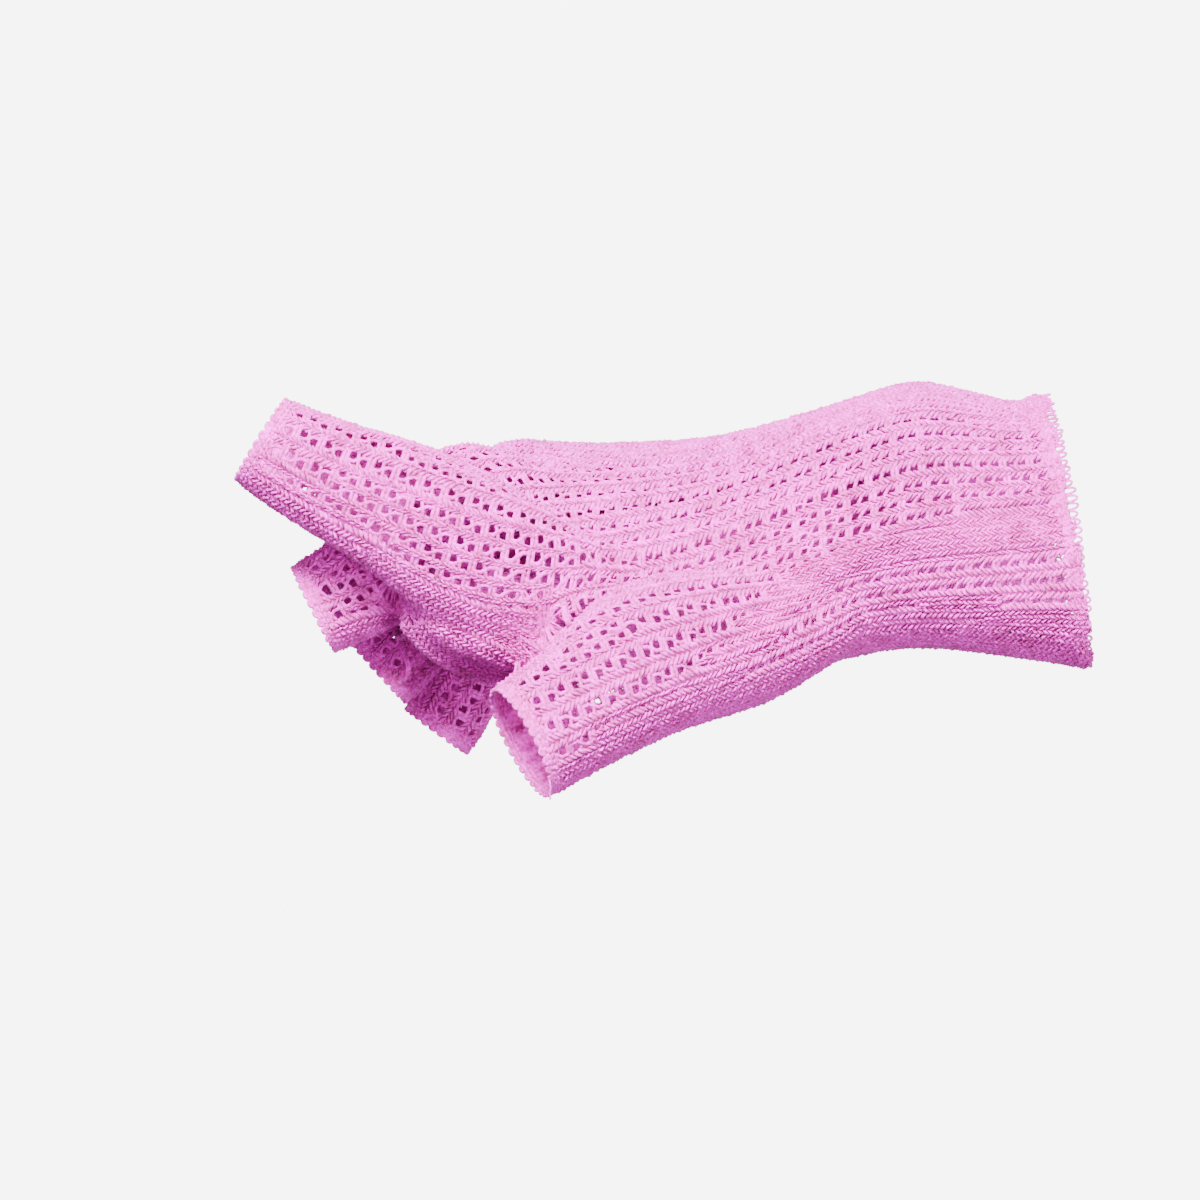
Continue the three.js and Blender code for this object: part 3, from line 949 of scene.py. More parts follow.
@dataclass
class LaceCell:
    """Sizes of the yarn between two columns: a pair of eyelets in every cell."""

    bridge: float = 0.42
    strut: float = 0.36
    margin: float = 0.38
    weave: float = 0.5
    least_gap: float = 0.25
    weave_gap: float = 1.1
    slant: float = 0.07
    bridge_slant: float = 0.5
    strut_slant: float = 1.6
    bridge_offset: float = 0.08
    ripple: tuple[float, ...] = (-1.0, -0.4, 0.4, 1.0)
    stations: tuple[float, ...] = (0.0, 0.33, 0.67, 1.0)
    reach_under: float = 0.55
    reach_limits: tuple[float, float] = (0.03, 0.45)
    lift: float = 0.02
    flatness: float = 0.9
    margin_along: tuple[float, ...] = (0.0, 0.11, 0.22)
    margin_across: tuple[float, ...] = (0.05, 0.35, 0.65, 0.95)
    first_margin: float = 0.17
    last_margin: float = 0.6
    weave_along: tuple[float, ...] = (0.03, 0.16, 0.36, 0.5, 0.64, 0.84, 0.97)
    weave_swing: tuple[float, ...] = (0.35, 0.95, 0.85, 0.0, -0.85, -0.95, -0.35)
    weave_share: float = 0.42
    weave_lift: float = 0.05
    weave_of_gap: float = 0.22
    least_weave: float = 0.2

    def lay(self, mesh: YarnMesh, strip: Strip, first: int, last: int, lean: int) -> None:
        """Lay the yarn of whole cells of a strip.

        Args:
            mesh: the mesh that takes it.
            strip: the strip.
            first: its first cell.
            last: the cell after its last.
            lean: 1 or -1, which column the first eyelet of a pair lies nearer to.
        """
        cells = np.arange(first, last, dtype=float)
        cells = cells[(cells + 0.6 >= strip.start) & (cells + 0.4 <= strip.end)]
        if not len(cells):
            return
        middles = cells + 0.5
        width = strip.width(middles)
        first_half = np.interp(middles, strip.a.cells, strip.a.after)
        second_half = np.interp(middles, strip.b.cells, strip.b.before)
        gap = width - first_half - second_half
        closed = np.round(strip.a.rim_cells - cells) == 1
        self._margin(mesh, strip, cells[cells == 0], self.first_margin)
        self._margin(mesh, strip, cells[closed], self.last_margin)
        is_open = gap > self.least_gap
        cells, width, gap = cells[is_open], width[is_open], gap[is_open]
        first_half, second_half = first_half[is_open], second_half[is_open]
        if not len(cells):
            return
        low = np.clip(first_half * self.reach_under / width, *self.reach_limits)[:, None]
        high = 1 - np.clip(second_half * self.reach_under / width, *self.reach_limits)[:, None]
        across = low + (high - low) * np.array(self.stations)
        for offset, radius, slant in (
            (-self.bridge_offset, self.bridge, self.slant * self.bridge_slant),
            (self.bridge_offset, self.bridge, self.slant * self.bridge_slant),
            (0.5, self.strut, self.slant * self.strut_slant),
        ):
            places = cells[:, None] + offset + lean * slant * np.array(self.ripple)
            points, normals = strip.place(places, across, np.full_like(places, self.lift))
            size = np.full(points.shape[:2], radius)
            mesh.add(points, normals, size, size * self.flatness)
        wide = gap > self.weave_gap
        if wide.any():
            centre = (width + first_half - second_half) / (2 * width)
            self._weave(mesh, strip, cells[wide], centre[wide], gap[wide] / width[wide], gap[wide], lean)

    def _margin(self, mesh: YarnMesh, strip: Strip, cells: np.ndarray, start: float) -> None:
        """Close the half cell next to an edge with strands side by side.

        Args:
            mesh: the mesh that takes them.
            strip: the strip.
            cells: the cells that lie at an edge.
            start: where in its cell the first strand lies.
        """
        if not len(cells):
            return
        starts = (cells[:, None] + start + np.array(self.margin_along)).reshape(-1, 1)
        places = starts * np.ones(len(self.margin_across))
        across = np.ones_like(places) * np.array(self.margin_across)
        points, normals = strip.place(places, across, np.zeros_like(places))
        size = np.full(points.shape[:2], self.margin)
        mesh.add(points, normals, size, size)

    def _weave(
        self, mesh: YarnMesh, strip: Strip, cells: np.ndarray, centre: np.ndarray, share: np.ndarray,
        gap: np.ndarray, lean: int,
    ) -> None:
        """The strand that winds past the two eyelets of a cell, on one side and then the other.

        Args:
            mesh: the mesh that takes it.
            strip: the strip.
            cells: the cells that have the strand.
            centre: the middle of each gap, as a share of the way across.
            share: the width of each gap, as a share of the way across.
            gap: the width of each gap.
            lean: 1 or -1, which side the strand takes first.
        """
        places = cells[:, None] + np.array(self.weave_along)
        swing = np.array(self.weave_swing) * share[:, None]
        across = centre[:, None] + lean * swing * self.weave_share
        points, normals = strip.place(places, across, np.full_like(places, self.weave_lift))
        thick = np.clip(gap * self.weave_of_gap, self.least_weave, self.weave)
        size = thick[:, None] * np.ones(len(self.weave_along))
        mesh.add(points, normals, size, size * self.flatness)


@dataclass(frozen=True)
class LaceMap:
    """Where the knit is dense, and how wide the gaps between its columns are elsewhere.

    It is dense on the underside, over a low bump near the cuff and along the ridge. Below and
    above one level, the gaps open towards the stalls from an x on, over a length, and they narrow
    in the same way at the wrist. The far side starts at a y of the normal. The track of the ridge
    and the places of larger eyelets are x and z, as they are seen from the thumb side.
    """

    underside: float = -0.5
    bump_facing: float = 0.8
    bump: tuple[float, float] = (-50.0, -6.0)
    ridge_half_width: float = 3.0
    ridge_track: tuple[tuple[float, float], ...] = (
        (-93.6, -40.0), (-74.0, -31.5), (-56.5, -12.0), (-44.5, -5.8), (-22.8, -0.8), (-3.2, 1.2),
    )
    level: float = -12.0
    open_below: tuple[float, float] = (-66.0, 14.0)
    open_above: tuple[float, float] = (-82.0, 16.0)
    ridge_eyelets: tuple[float, float] = (-50.0, -1.0)
    ridge_reach: float = 5.0
    ridge_open: float = 0.7
    fan_eyelets: tuple[float, float] = (-103.6, -8.2)
    fan_reach: float = 8.0
    wrist: tuple[float, float] = (-50.0, 20.0)
    far_side: tuple[float, float] = (-0.2, 0.3)
    usual_gap: float = 0.7
    less_at_wrist: float = 0.2
    more_where_open: float = 1.2
    more_in_fan: float = 0.8
    far_gap: float = -0.25
    dense_gap: float = -0.1

    def is_dense(self, points: np.ndarray, normals: np.ndarray) -> np.ndarray:
        """Tell where the knit is dense.

        Args:
            points: places on the form.
            normals: the outward directions there.

        Returns:
            True or false for each place.
        """
        under = normals[:, 2] < self.underside
        bump = (points[:, 0] > self.bump[0]) & (points[:, 0] < self.bump[1])
        bump &= normals[:, 2] > self.bump_facing
        track = np.array(self.ridge_track)
        near = np.full(len(points), np.inf)
        flat = points[:, [0, 2]]
        for start, end in zip(track[:-1], track[1:]):
            line = end - start
            share = np.clip(((flat - start) @ line) / (line @ line), 0, 1)
            near = np.minimum(near, np.linalg.norm(flat - start - share[:, None] * line, axis=1))
        ridge = (near < self.ridge_half_width) & (normals[:, 1] < 0)
        return under | bump | ridge

    def gap(self, points: np.ndarray, normals: np.ndarray) -> np.ndarray:
        """Tell how wide the gap between two columns is.

        Args:
            points: places on the form.
            normals: the outward directions there.

        Returns:
            A width for each place: least where dense and on the far side, most on thumb and index.
        """
        ramps = [(start - points[:, 0]) / length for start, length in (self.open_below, self.open_above)]
        openness = np.clip(np.where(points[:, 2] < self.level, *ramps), 0, 1)
        flat = points[:, [0, 2]]
        from_ridge = np.linalg.norm(flat - np.array(self.ridge_eyelets), axis=1)
        from_fan = np.linalg.norm(flat - np.array(self.fan_eyelets), axis=1)
        near_ridge = np.clip(2 - from_ridge / self.ridge_reach, 0, self.ridge_open)
        openness = np.maximum(openness, np.where(normals[:, 1] < 0, near_ridge, 0))
        wrist = np.clip((points[:, 0] - self.wrist[0]) / self.wrist[1], 0, 1)
        wide = self.usual_gap - self.less_at_wrist * wrist + self.more_where_open * openness
        wide += self.more_in_fan * np.clip(1.6 - from_fan / self.fan_reach, 0, 1)
        far = np.clip((normals[:, 1] - self.far_side[0]) / self.far_side[1], 0, 1)
        gap = wide * (1 - far) + self.far_gap * far
        return np.where(self.is_dense(points, normals), self.dense_gap, gap)


@dataclass
class Gather:
    """Short strands that run out from one point where two stalls part.

    Between thumb and index, that point is given as it is seen from the thumb side: x and z.
    """

    flow: FlowField
    reach: float = 16.0
    strands: int = 48
    fan_from: float = 7.0
    yarn: float = 0.3
    lift: float = 0.12
    search: float = 12.0
    least_facing: float = -0.3
    bound_points: int = 8
    bound_rows: tuple[float, float] = (0.0, 0.1)
    thumb_point: tuple[float, float] = (-104.6, -19.0)
    shares: tuple[float, ...] = (0.0, 0.12, 0.35, 0.6, 0.85, 1.0)

    def lay(self, mesh: YarnMesh, strips: list[Strip], wales: list[Wale]) -> None:
        """Bind the ends of the strips that meet there, and lay the strands.

        Args:
            mesh: the mesh that takes the yarn.
            strips: the strips that end there.
            wales: all the columns, which the strands run out to.
        """
        spot, normal = self._centre(strips)
        across = np.linspace(0.06, 0.94, self.bound_points)
        flat = np.zeros(self.bound_points)
        edge_points, edge_normals = [], []
        for strip in strips:
            for back in self.bound_rows:
                points, normals = strip.place(flat + strip.end - back, across, flat)
                edge_points.append(points)
                edge_normals.append(normals)
        size = np.full((len(edge_points), self.bound_points), self.yarn * 1.15)
        mesh.add(np.array(edge_points), np.array(edge_normals), size, size)
        cloud = np.concatenate([wale.points for wale in wales] + edge_points)
        outwards = np.concatenate([wale.normals for wale in wales] + edge_normals)
        self._lay_strands(mesh, spot, normal, cloud, outwards @ normal)
        LOG.info("gather at %s", spot.round(1))

    def _centre(self, strips: list[Strip]) -> tuple[np.ndarray, np.ndarray]:
        """Find the point that the strands run out from.

        Args:
            strips: the strips that end there.

        Returns:
            The point and its normal: at thumb and index the given one, else where the flow is still.
        """
        if {strips[0].a.finger, strips[0].b.finger} == {Finger.THUMB, Finger.INDEX}:
            x, z = self.thumb_point
            hit = self.flow.tree.ray_cast(Vector((x, -90, z)), Vector((0, 1, 0)))
            return self.flow.sample(np.array(hit[0]))[:2]
        ends = [strip.line(np.array([strip.end]), 0.5)[0][0] for strip in strips]
        points = self.flow.form.points
        away = np.linalg.norm(points - np.mean(ends, axis=0), axis=1)
        speed = np.where(away < self.search, np.linalg.norm(self.flow.slopes, axis=1), np.inf)
        return self.flow.sample(points[int(speed.argmin())])[:2]

    def _lay_strands(
        self, mesh: YarnMesh, spot: np.ndarray, normal: np.ndarray, cloud: np.ndarray, facing: np.ndarray
    ) -> None:
        """Lay strands from the point out to the columns around it.

        Args:
            mesh: the mesh that takes the strands.
            spot: the point.
            normal: the outward direction there.
            cloud: the points that a strand can run to.
            facing: how far each of them faces the same way, from -1 to 1.
        """
        offset = cloud - spot
        away = np.linalg.norm(offset, axis=1)
        near = (away < self.reach) & (facing > self.least_facing)
        first = unit(np.cross(normal, [0.0, 0.0, 1.0]))
        second = np.cross(normal, first)
        angle = np.degrees(np.arctan2(offset @ second, offset @ first)) % 360
        above = (away > self.fan_from) & (offset[:, 2] > 0.3 * away)
        sector = 360 / self.strands
        targets = []
        for low in np.arange(0, 360, sector):
            inside = near & ((angle - low) % 360 < sector)
            for chosen in (inside, inside & above):
                if chosen.any():
                    targets.append(cloud[np.where(chosen, away, np.inf).argmin()])
        found = [
            [self.flow.sample(spot + (end - spot) * share)[:2] for share in self.shares] for end in targets
        ]
        centres = np.array([[place + outward * self.lift for place, outward in row] for row in found])
        outwards = np.array([[outward for _, outward in row] for row in found])
        size = np.full(centres.shape[:2], self.yarn)
        mesh.add(centres, outwards, size, size)


@dataclass
class Knit:
    """The whole knit: columns, lace strips and the gathers between the stalls."""

    flow: FlowField
    column: StitchColumn = field(default_factory=StitchColumn)
    lace: LaceCell = field(default_factory=LaceCell)
    fuzz: Fuzz = field(default_factory=Fuzz)
    zones: LaceMap = LaceMap()
    widest: float = 18.0
    off_form: float = 1.1
    off_form_more: float = 0.12
    web: float = 2.6
    add_over: float = 5.9
    add_over_dense: float = 3.3
    shortest_extra: float = 1.3
    most_splits: int = 3
    read_step: float = 0.1
    read_across: tuple[float, ...] = (0.1, 0.5, 0.9)
    least_read: int = 6
    points_in_cell: int = 5
    rim_edge: float = 1.3
    shortest_part: float = 1.2
    half_widths: tuple[float, float] = (0.5, 3.6)
    taper: float = 2.5
    least_taper: float = 0.4
    at_an_end: float = 0.6
    full_lace_gap: float = 0.6
    before_cuff: float = -0.07
    meshes: dict[str, YarnMesh] = field(default_factory=dict)

    def build(self) -> None:
        """Trace the columns, sort out the strips and lay all the yarn."""
        wales = WaleTracer(self.flow).trace()
        LOG.info("order at the cuff: %s", " ".join(w.finger.value[0] for w in wales))
        chance = np.random.default_rng(7)
        strips = self._strips(wales)
        extras: list[Wale] = []
        parts = [part for strip in strips for part in self._fill(strip, extras, 0)]
        LOG.info("columns %d, extra columns %d, strips %d", len(wales), len(extras), len(parts))
        everything = wales + extras
        self._set_widths(everything, parts)
        for wale in everything:
            self._lay_column(wale, chance)
        for part in parts:
            self._lay_strip(part)
        corners: dict[frozenset[Finger], list[Strip]] = {}
        for strip in strips:
            if strip.a.finger is not strip.b.finger:
                corners.setdefault(frozenset((strip.a.finger, strip.b.finger)), []).append(strip)
        gather = Gather(self.flow)
        for meeting in corners.values():
            gather.lay(self._mesh_for(meeting[0].a, False), meeting, everything)

    def _strips(self, wales: list[Wale]) -> list[Strip]:
        """Pair neighbouring columns, at the cuff and at the rims.

        Args:
            wales: all the traced columns.

        Returns:
            The strips between them.
        """
        strips = []
        pairs = set()
        for i, wale in enumerate(wales):
            other = wales[(i + 1) % len(wales)]
            pairs.add((id(wale), id(other)))
            end = min(wale.cells[-1], other.cells[-1])
            if wale.finger is not other.finger or not self._beside(wale, other):
                end = self._parting(wale, other, np.arange(0, end, self.read_step))
            strips.append(Strip(wale, other, 0.0, end))
        for finger in Finger:
            own = sorted((w for w in wales if w.finger is finger), key=lambda w: w.order)
            for i, wale in enumerate(own):
                other = own[(i + 1) % len(own)]
                if (id(wale), id(other)) in pairs or (id(other), id(wale)) in pairs:
                    continue
                top = min(wale.cells[-1], other.cells[-1])
                start = self._parting(wale, other, np.arange(top, 0, -self.read_step))
                strips.append(Strip(wale, other, start, top))
        return strips

    @staticmethod
    def _beside(wale: Wale, other: Wale) -> bool:
        """Whether two columns of one stall also lie side by side at its rim."""
        return abs(wale.order - other.order) in (1, STALLS[wale.finger].wales - 1)

    def _parting(self, wale: Wale, other: Wale, cells: np.ndarray) -> float:
        """Find where the way across between two columns leaves the form.

        Args:
            wale: one column.
            other: its neighbour.
            cells: the cells to go along.

        Returns:
            The first of the cells where it does, or the last one.
        """
        strip = Strip(wale, other, 0.0, 0.0)
        off_form = self.web if {wale.finger, other.finger} == {Finger.THUMB, Finger.INDEX} else self.off_form
        for cell, point, span in zip(cells, strip.line(cells, 0.5)[0], strip.width(cells)):
            away = self.flow.tree.find_nearest(Vector(point))[3]
            if away > off_form + self.off_form_more * span or span > self.widest:
                return float(cell)
        return float(cells[-1])

    def _fill(self, strip: Strip, extras: list[Wale], splits: int) -> list[Strip]:
        """Put extra columns into a strip where it is dense or too wide.

        Args:
            strip: the strip to fill.
            extras: takes each extra column.
            splits: how often the strip has been halved.

        Returns:
            The strips that lie side by side or end to end in its place.
        """
        cells = np.arange(strip.start, strip.end, self.read_step)
        if len(cells) < self.least_read or splits >= self.most_splits:
            return [strip]
        dense = np.zeros(len(cells), dtype=bool)
        for share in self.read_across:
            dense |= self.zones.is_dense(*strip.line(cells, share))
        limit = np.where(dense, self.add_over_dense, self.add_over)
        wanted = (strip.width(cells) > limit).astype(float)
        wanted = smoothed(wanted, 4) > 0.5
        parts: list[Strip] = []
        changes = np.nonzero(np.diff(wanted.astype(int)))[0] + 1
        firsts = [0, *changes.tolist()]
        places = [strip.start, *(float(round(cells[i])) for i in firsts[1:]), strip.end]
        for low, start, end in zip(firsts, places[:-1], places[1:]):
            if end <= start:
                continue
            if not wanted[low] or end - start < self.shortest_extra:
                parts.append(Strip(strip.a, strip.b, start, end))
                continue
            inner = np.linspace(start, end, max(int((end - start) * self.points_in_cell), 4))
            found = [self.flow.sample(spot) for spot in strip.line(inner, 0.5)[0]]
            extra = Wale(
                strip.a.finger, np.array([one[0] for one in found]), np.array([one[1] for one in found]),
                strip.a.angle, strip.a.order, strip.a.rim_cells,
            )
            extra.cells = inner
            extras.append(extra)
            parts += self._fill(Strip(strip.a, extra, start, end), extras, splits + 1)
            parts += self._fill(Strip(extra, strip.b, start, end), extras, splits + 1)
        return parts

    def _set_widths(self, wales: list[Wale], parts: list[Strip]) -> None:
        """Set each column's half widths from the spacing to its neighbours.

        Args:
            wales: all the columns.
            parts: all the strips between them.
        """
        cloud = np.concatenate([wale.points for wale in wales])
        owner = np.concatenate([np.full(len(wale.points), i) for i, wale in enumerate(wales)])
        gaps = {id(wale): self.zones.gap(wale.points, wale.normals) for wale in wales}
        for wale in wales:
            wale.lace = np.clip(gaps[id(wale)] / self.full_lace_gap, 0, 1)
        for i, wale in enumerate(wales):
            others = cloud[owner != i]
            near = np.array([
                math.sqrt(float(((others - point) ** 2).sum(1).min())) for point in wale.points
            ])
            wale.before = (near - gaps[id(wale)]) / 2
            wale.after = wale.before.copy()
        for part in parts:
            for wale, half in ((part.a, part.a.after), (part.b, part.b.before)):
                beside = (wale.cells >= part.start) & (wale.cells <= part.end)
                half[beside] = (part.width(wale.cells[beside]) - gaps[id(wale)][beside]) / 2
        for wale in wales:
            taper = np.ones(len(wale.run))
            if wale.cells[0] > self.at_an_end:
                taper = np.minimum(taper, wale.run / self.taper)
            if wale.rim_cells - wale.cells[-1] > self.at_an_end:
                taper = np.minimum(taper, (wale.length - wale.run) / self.taper)
            for half in (wale.before, wale.after):
                half *= np.clip(taper, self.least_taper, 1)
                half[:] = np.clip(smoothed(half, 2), *self.half_widths)

    def _mesh_for(self, wale: Wale, in_stall: bool) -> YarnMesh:
        """Find the mesh that a stretch of a column belongs to.

        Args:
            wale: the column.
            in_stall: whether the stretch lies in a stall, or in the palm shell.

        Returns:
            The mesh, which is new if there was none.
        """
        if in_stall:
            name = f"{wale.finger.value}_stall_knit"
        else:
            sector = int(((wale.angle + 30) % 360) // 60)
            name = f"palm_knit_{list(Side)[sector].value}"
        return self.meshes.setdefault(name, YarnMesh())

    def _lay_column(self, wale: Wale, chance: np.random.Generator) -> None:
        """Lay a column, cut where it passes from the palm shell to a stall.

        Args:
            wale: the column.
            chance: the source of small irregularities.
        """
        low = float(np.interp(self.before_cuff, wale.cells, wale.run))
        at_rim = wale.rim_cells - wale.cells[-1] < 0.5
        high = wale.length - (self.rim_edge if at_rim else 0.0)
        root_cells = wale.rim_cells - STALLS[wale.finger].length / CELL
        root = wale.length
        if root_cells < wale.cells[-1]:
            root = float(np.interp(root_cells, wale.cells, wale.run))
        for start, end, in_stall in ((low, min(root, high), False), (max(root, low), high, True)):
            if end - start > self.shortest_part:
                for maker in (self.column, self.fuzz):
                    maker.lay(self._mesh_for(wale, in_stall), wale, start, end, chance)

    def _lay_strip(self, strip: Strip) -> None:
        """Lay the lace of a strip, cut where it passes from the palm shell to a stall.

        Args:
            strip: the strip.
        """
        stall = STALLS[strip.a.finger]
        last = math.ceil(strip.end) + 1
        root = last
        if strip.a.finger is strip.b.finger:
            root = math.ceil(strip.a.rim_cells - stall.length / CELL)
        flip = stall.flip_from
        for first, after, in_stall in ((0, min(root, last), False), (root, last, True)):
            for start, end, lean in ((first, min(after, flip), -1), (max(first, flip), after, 1)):
                if end > start:
                    self.lace.lay(self._mesh_for(strip.a, in_stall), strip, start, end, lean)


@dataclass(frozen=True)
class LoopShape:
    """The sizes of the loops on an edge.

    A loop stands out to its height, rises off the surface, and its feet stand as far from its
    middle as its bite, a share of the pitch. On the underside it can be shorter.
    """

    pitch: float
    out: float
    yarn: float
    bite: float
    rise: float = 0.0
    less_below: float = 0.0
    scatter: float = 0.06


PICOT = LoopShape(pitch=1.72, out=2.4, yarn=0.26, bite=0.42, rise=0.2, less_below=0.45, scatter=0.11)
RIM_BUMP = LoopShape(pitch=2.05, out=0.8, yarn=0.42, bite=0.34, rise=0.1)


@dataclass(frozen=True)
class EdgeLine:
    """A closed line around an opening. Its first point comes again at the end."""

    points: np.ndarray
    normals: np.ndarray
    run: np.ndarray
    along: np.ndarray

    @classmethod
    def around(
        cls, flow: FlowField, rows: tuple[tuple[float, ...], ...], at_end: bool, back: float,
        count: int = 240,
    ) -> "EdgeLine":
        """Lay a line around an opening.

        Args:
            flow: the flow over the form that the line lies on.
            rows: the section rows of the tube.
            at_end: whether it is at the tube's last section, or at its first.
            back: how far it lies behind the opening's plane.
            count: how many points it has.

        Returns:
            The line, with the direction out of the opening.
        """
        row = np.array(rows[-1 if at_end else 0], float)
        along = Tube.axes(row)[0] * (1 if at_end else -1)
        angles = np.arange(count + 1) * 2 * np.pi / count
        ring = Tube(rows).edge(row, angles, flow.form.inset) - along * back
        found = [flow.sample(spot) for spot in ring]
        points = np.array([one[0] for one in found])
        run = np.concatenate([[0], np.cumsum(np.linalg.norm(np.diff(points, axis=0), axis=1))])
        return cls(points, np.array([one[1] for one in found]), run, along)

    def at(self, places: np.ndarray) -> tuple[np.ndarray, np.ndarray]:
        """Points and normals at lengths along the line."""
        inside = places % self.run[-1]
        return between(inside, self.run, self.points), unit(between(inside, self.run, self.normals))


@dataclass
class EdgeFinish:
    """Chains with bumps on the stall rims, and the picot loops of the cuff.

    A chain is given by the pitch of its links and half the thickness of its yarn. Each line lies
    some way back from its opening's plane. The sizes in fours belong to the rings of a link. The
    tail starts to the side of and below the rim's centre, reaches out and down, and waves.
    """

    flow: FlowField
    rim_chain: tuple[float, float] = (1.35, 0.5)
    rim_chain_back: float = 1.75
    rim_core: float = 0.6
    rim_core_back: float = 0.9
    rim_bump_back: float = 1.0
    cuff_chain: tuple[float, float] = (1.2, 0.4)
    cuff_back: float = 1.9
    link_along: tuple[float, ...] = (-0.1, 0.35, 0.8, 1.25)
    link_across: tuple[float, ...] = (0.1, 0.75, 0.85, 0.25)
    link_lift: tuple[float, ...] = (-0.5, 0.35, 0.4, -0.45)
    link_thin: tuple[float, ...] = (0.5, 0.8, 0.8, 0.45)
    link_shift: float = 0.12
    lift_jitter: float = 0.04
    thickness_jitter: float = 0.06
    core_share: float = 0.8
    core_depth: float = 0.15
    loop_fullness: float = 0.7
    rise_scatter: float = 0.6
    tail_yarn: float = 0.2
    tail_from: tuple[float, float] = (8.0, 8.5)
    tail_reach: tuple[float, float] = (1.5, 3.5)
    tail_wave: tuple[float, float] = (0.6, 5.0)
    chance: np.random.Generator = field(default_factory=lambda: np.random.default_rng(11))

    def rim(self, finger: Finger) -> YarnMesh:
        """Lay the finished edge of a stall.

        Args:
            finger: the stall.

        Returns:
            Its chain and bumps, and at the thumb the loose tail.
        """
        mesh = YarnMesh()
        rows = STALLS[finger].rows
        self._chain(mesh, EdgeLine.around(self.flow, rows, True, self.rim_chain_back), *self.rim_chain)
        self._core(mesh, EdgeLine.around(self.flow, rows, True, self.rim_core_back), self.rim_core)
        self._loops(mesh, EdgeLine.around(self.flow, rows, True, self.rim_bump_back), RIM_BUMP)
        if finger is Finger.THUMB:
            self._tail(mesh)
        return mesh

    def cuff(self) -> YarnMesh:
        """Lay the finished edge of the cuff.

        Returns:
            Its chain and picot loops.
        """
        mesh = YarnMesh()
        line = EdgeLine.around(self.flow, PALM_ROWS, False, self.cuff_back)
        self._chain(mesh, line, *self.cuff_chain)
        self._loops(mesh, line, PICOT)
        return mesh

    def _chain(self, mesh: YarnMesh, line: EdgeLine, pitch: float, yarn: float) -> None:
        """Lay a chain of slanted links along a closed line.

        Args:
            mesh: the mesh that takes it.
            line: the closed line.
            pitch: about how long a link is.
            yarn: half the thickness of the yarn.
        """
        count = round(line.run[-1] / pitch)
        step = line.run[-1] / count
        parts = np.array(self.link_along) * step
        for turn in (-1, 1):
            places = (np.arange(count) * step + turn * step * self.link_shift)[:, None] + parts
            points, outward = line.at(places)
            shift = turn * yarn * np.array(self.link_across)
            lift = np.array(self.link_lift) * yarn + self.chance.normal(0, self.lift_jitter, (count, 1))
            centres = points + line.along * shift[None, :, None] + outward * lift[..., None]
            uneven = 1 + self.chance.normal(0, self.thickness_jitter, (count, 1))
            thick = yarn * np.array(self.link_thin) * uneven
            mesh.add(centres, outward, thick, thick)
        self._core(mesh, line, yarn * self.core_share)

    def _core(self, mesh: YarnMesh, line: EdgeLine, yarn: float) -> None:
        """Lay one plain strand along a closed line.

        Args:
            mesh: the mesh that takes it.
            line: the closed line.
            yarn: half the thickness of the strand.
        """
        points, normals = (
            np.concatenate([rows[::3], rows[3:4]])[None] for rows in (line.points, line.normals)
        )
        size = np.full(points.shape[:2], yarn)
        mesh.add(points - normals * self.core_depth, normals, size, size, 6)

    def _loops(self, mesh: YarnMesh, line: EdgeLine, shape: LoopShape) -> None:
        """Lay a row of loops that stand out of an opening's edge.

        Args:
            mesh: the mesh that takes them.
            line: the closed line that their feet stand on.
            shape: the sizes of a loop.
        """
        count = round(line.run[-1] / shape.pitch)
        step = line.run[-1] / count
        turn = np.linspace(0, np.pi, 9)
        scatter = self.chance.normal(0, shape.scatter, (count, 3))
        feet = (np.arange(count) * step)[:, None] + step * (0.5 - shape.bite * np.cos(turn))
        points, outward = line.at(feet + scatter[:, :1])
        under = 1 - shape.less_below * np.clip(-outward[:, 4:5, 2] / 0.5, 0, 1)
        out = shape.out * under * (1 + scatter[:, 1:2]) * np.sin(turn) ** self.loop_fullness
        rise = shape.rise * np.sin(turn) + self.rise_scatter * scatter[:, 2:3]
        centres = points + line.along * out[..., None] + outward * rise[..., None]
        size = np.full(centres.shape[:2], shape.yarn)
        mesh.add(centres, outward, size, size)

    def _tail(self, mesh: YarnMesh) -> None:
        """Lay the short loose end of yarn at the thumb rim.

        Args:
            mesh: the mesh that takes it.
        """
        row = np.array(THUMB_ROWS[-1], float)
        along, side, up = Tube.axes(row)
        start = row[:3] + side * self.tail_from[0] - up * self.tail_from[1]
        share = np.linspace(0, 1, 8)[:, None]
        reach = along * (share * self.tail_reach[0]) - up * (share * self.tail_reach[1])
        wave = side * np.sin(share * self.tail_wave[1]) * self.tail_wave[0]
        centres = (start + reach + wave)[None]
        size = np.full(centres.shape[:2], self.tail_yarn)
        mesh.add(centres, np.broadcast_to(side, centres.shape), size, size)


@dataclass(frozen=True)
class SoftLight:
    """A soft area light that points at the glove: its square's side, watts, beam and colour."""

    name: str
    place: tuple[float, float, float]
    size: float
    power: float
    colour: tuple[float, float, float] = (1.0, 1.0, 1.0)
    spread: float = 32.0
    target: tuple[float, float, float] = (-0.08, 0.0, 0.0)

    def add(self) -> None:
        """Add the light to the scene."""
        deselect()
        turn = (Vector(self.target) - Vector(self.place)).to_track_quat("-Z", "Y").to_euler()
        bpy.ops.object.light_add(type="AREA", location=self.place, rotation=turn)
        light = bpy.context.active_object
        light.name = self.name
        light.data.size = self.size
        light.data.energy = self.power
        light.data.color = self.colour
        light.data.spread = math.radians(self.spread)


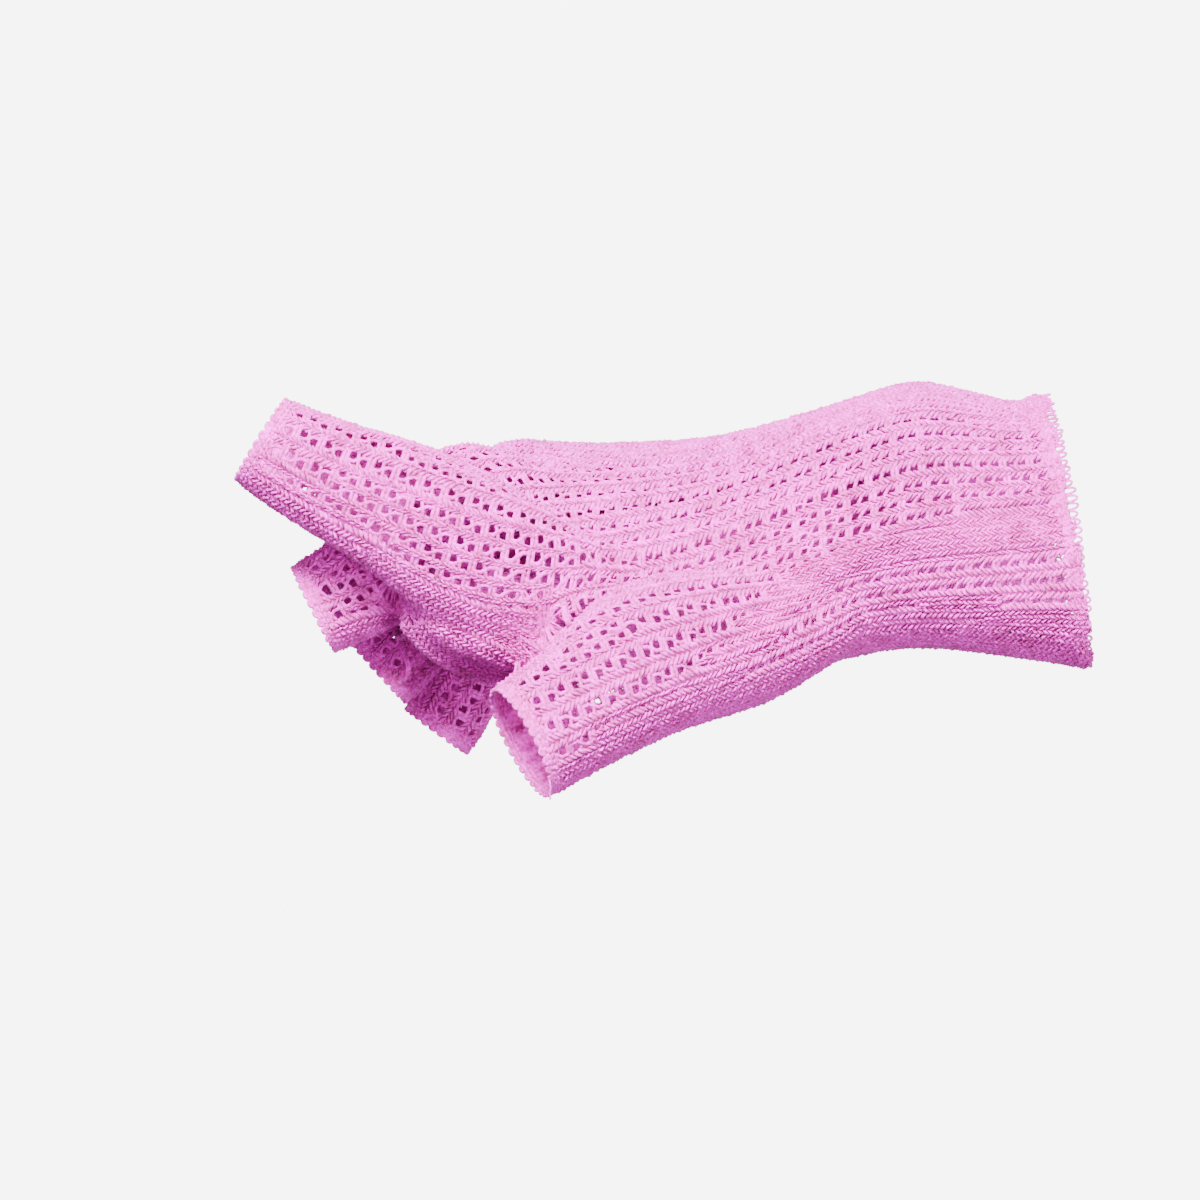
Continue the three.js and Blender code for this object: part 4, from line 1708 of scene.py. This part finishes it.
@dataclass
class Studio:
    """A plain pale floor, soft light from above and in front, and the camera."""

    floor_drop: float = -0.5
    floor_size: float = 3.0
    floor_grey: float = 0.8
    floor_roughness: float = 0.9
    around: float = 0.5
    behind: float = 7.0
    backdrop: tuple[float, float] = (0.965, 0.985)
    lights: tuple[SoftLight, ...] = (
        SoftLight("key", (-0.26, -1.03, 0.72), 0.4, 4.4),
        SoftLight("fill", (-0.6, -1.1, 0.5), 0.6, 0.5),
        SoftLight("low_fill", (0.5, -1.05, -0.35), 0.6, 1.5, (0.78, 1.0, 0.84)),
    )
    camera_at: tuple[float, float, float] = (-0.0936, -1.150, -0.0138)
    lens: float = 172.5
    sensor: float = 36.0

    def build(self) -> None:
        """Add the floor, the lights and the camera."""
        deselect()
        bpy.ops.mesh.primitive_plane_add(size=self.floor_size, location=(0, 0, self.floor_drop))
        floor = bpy.context.active_object
        floor.name = "floor"
        white = bpy.data.materials.new("floor_white")
        white.use_nodes = True
        shader = white.node_tree.nodes["Principled BSDF"]
        shader.inputs["Base Color"].default_value = (*[self.floor_grey] * 3, 1)
        shader.inputs["Roughness"].default_value = self.floor_roughness
        floor.data.materials.append(white)
        bpy.context.scene.world = self._world()
        for light in self.lights:
            light.add()
        deselect()
        bpy.ops.object.camera_add(location=self.camera_at, rotation=(math.radians(90), 0, 0))
        camera = bpy.context.active_object
        camera.data.lens = self.lens
        camera.data.sensor_width = self.sensor
        bpy.context.scene.camera = camera

    def _world(self) -> bpy.types.World:
        """Make dim light from all around, with a white backdrop behind the glove.

        Returns:
            The world.
        """
        world = bpy.data.worlds.new("studio")
        world.use_nodes = True
        nodes, links = world.node_tree.nodes, world.node_tree.links
        place = nodes.new("ShaderNodeTexCoord")
        split = nodes.new("ShaderNodeSeparateXYZ")
        links.new(place.outputs["Generated"], split.inputs["Vector"])
        reach = nodes.new("ShaderNodeMapRange")
        reach.interpolation_type = "SMOOTHSTEP"
        for socket, value in zip(
            ("From Min", "From Max", "To Min", "To Max"), (*self.backdrop, self.around, self.behind)
        ):
            reach.inputs[socket].default_value = value
        links.new(split.outputs["Y"], reach.inputs["Value"])
        background = nodes["Background"]
        background.inputs["Color"].default_value = (1, 1, 1, 1)
        links.new(reach.outputs["Result"], background.inputs["Strength"])
        return world


def finish_piece(mesh: YarnMesh, name: str, material: bpy.types.Material, node: str) -> None:
    """Make a piece, give it its finish and put it in the place of its solid.

    Args:
        mesh: the yarn.
        name: the name of the piece.
        material: its finish.
        node: the solid that it stands for.
    """
    item = mesh.build(name)
    item.data.materials.append(material)
    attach(item, "root")
    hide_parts(node)
    LOG.info("%s: %d triangles", name, mesh.triangles())


def main() -> None:
    """Build the glove and its studio."""
    logging.basicConfig(level=logging.INFO, format="%(message)s")
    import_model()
    form = GloveForm()
    LOG.info("form: %d points", len(form.points))
    flow = FlowField(form)
    knit = Knit(flow)
    knit.build()
    lace = YarnFinish("lace_yarn", (0.44, 0.026, 0.24), (1.0, 0.034, 0.79)).material()
    edge = YarnFinish("edge_yarn", (0.48, 0.03, 0.27), (1.0, 0.042, 0.80)).material()
    for name, mesh in sorted(knit.meshes.items()):
        node = "palm_shell" if name.startswith("palm") else name.removesuffix("_knit")
        finish_piece(mesh, name, lace, node)
    edges = EdgeFinish(flow)
    for finger in STALLS:
        rim = f"{finger.value}_rim"
        finish_piece(edges.rim(finger), f"{rim}_chain", edge, rim)
    finish_piece(edges.cuff(), "cuff_picots", edge, "cuff_edge")
    Studio().build()


if __name__ == "__main__":
    main()
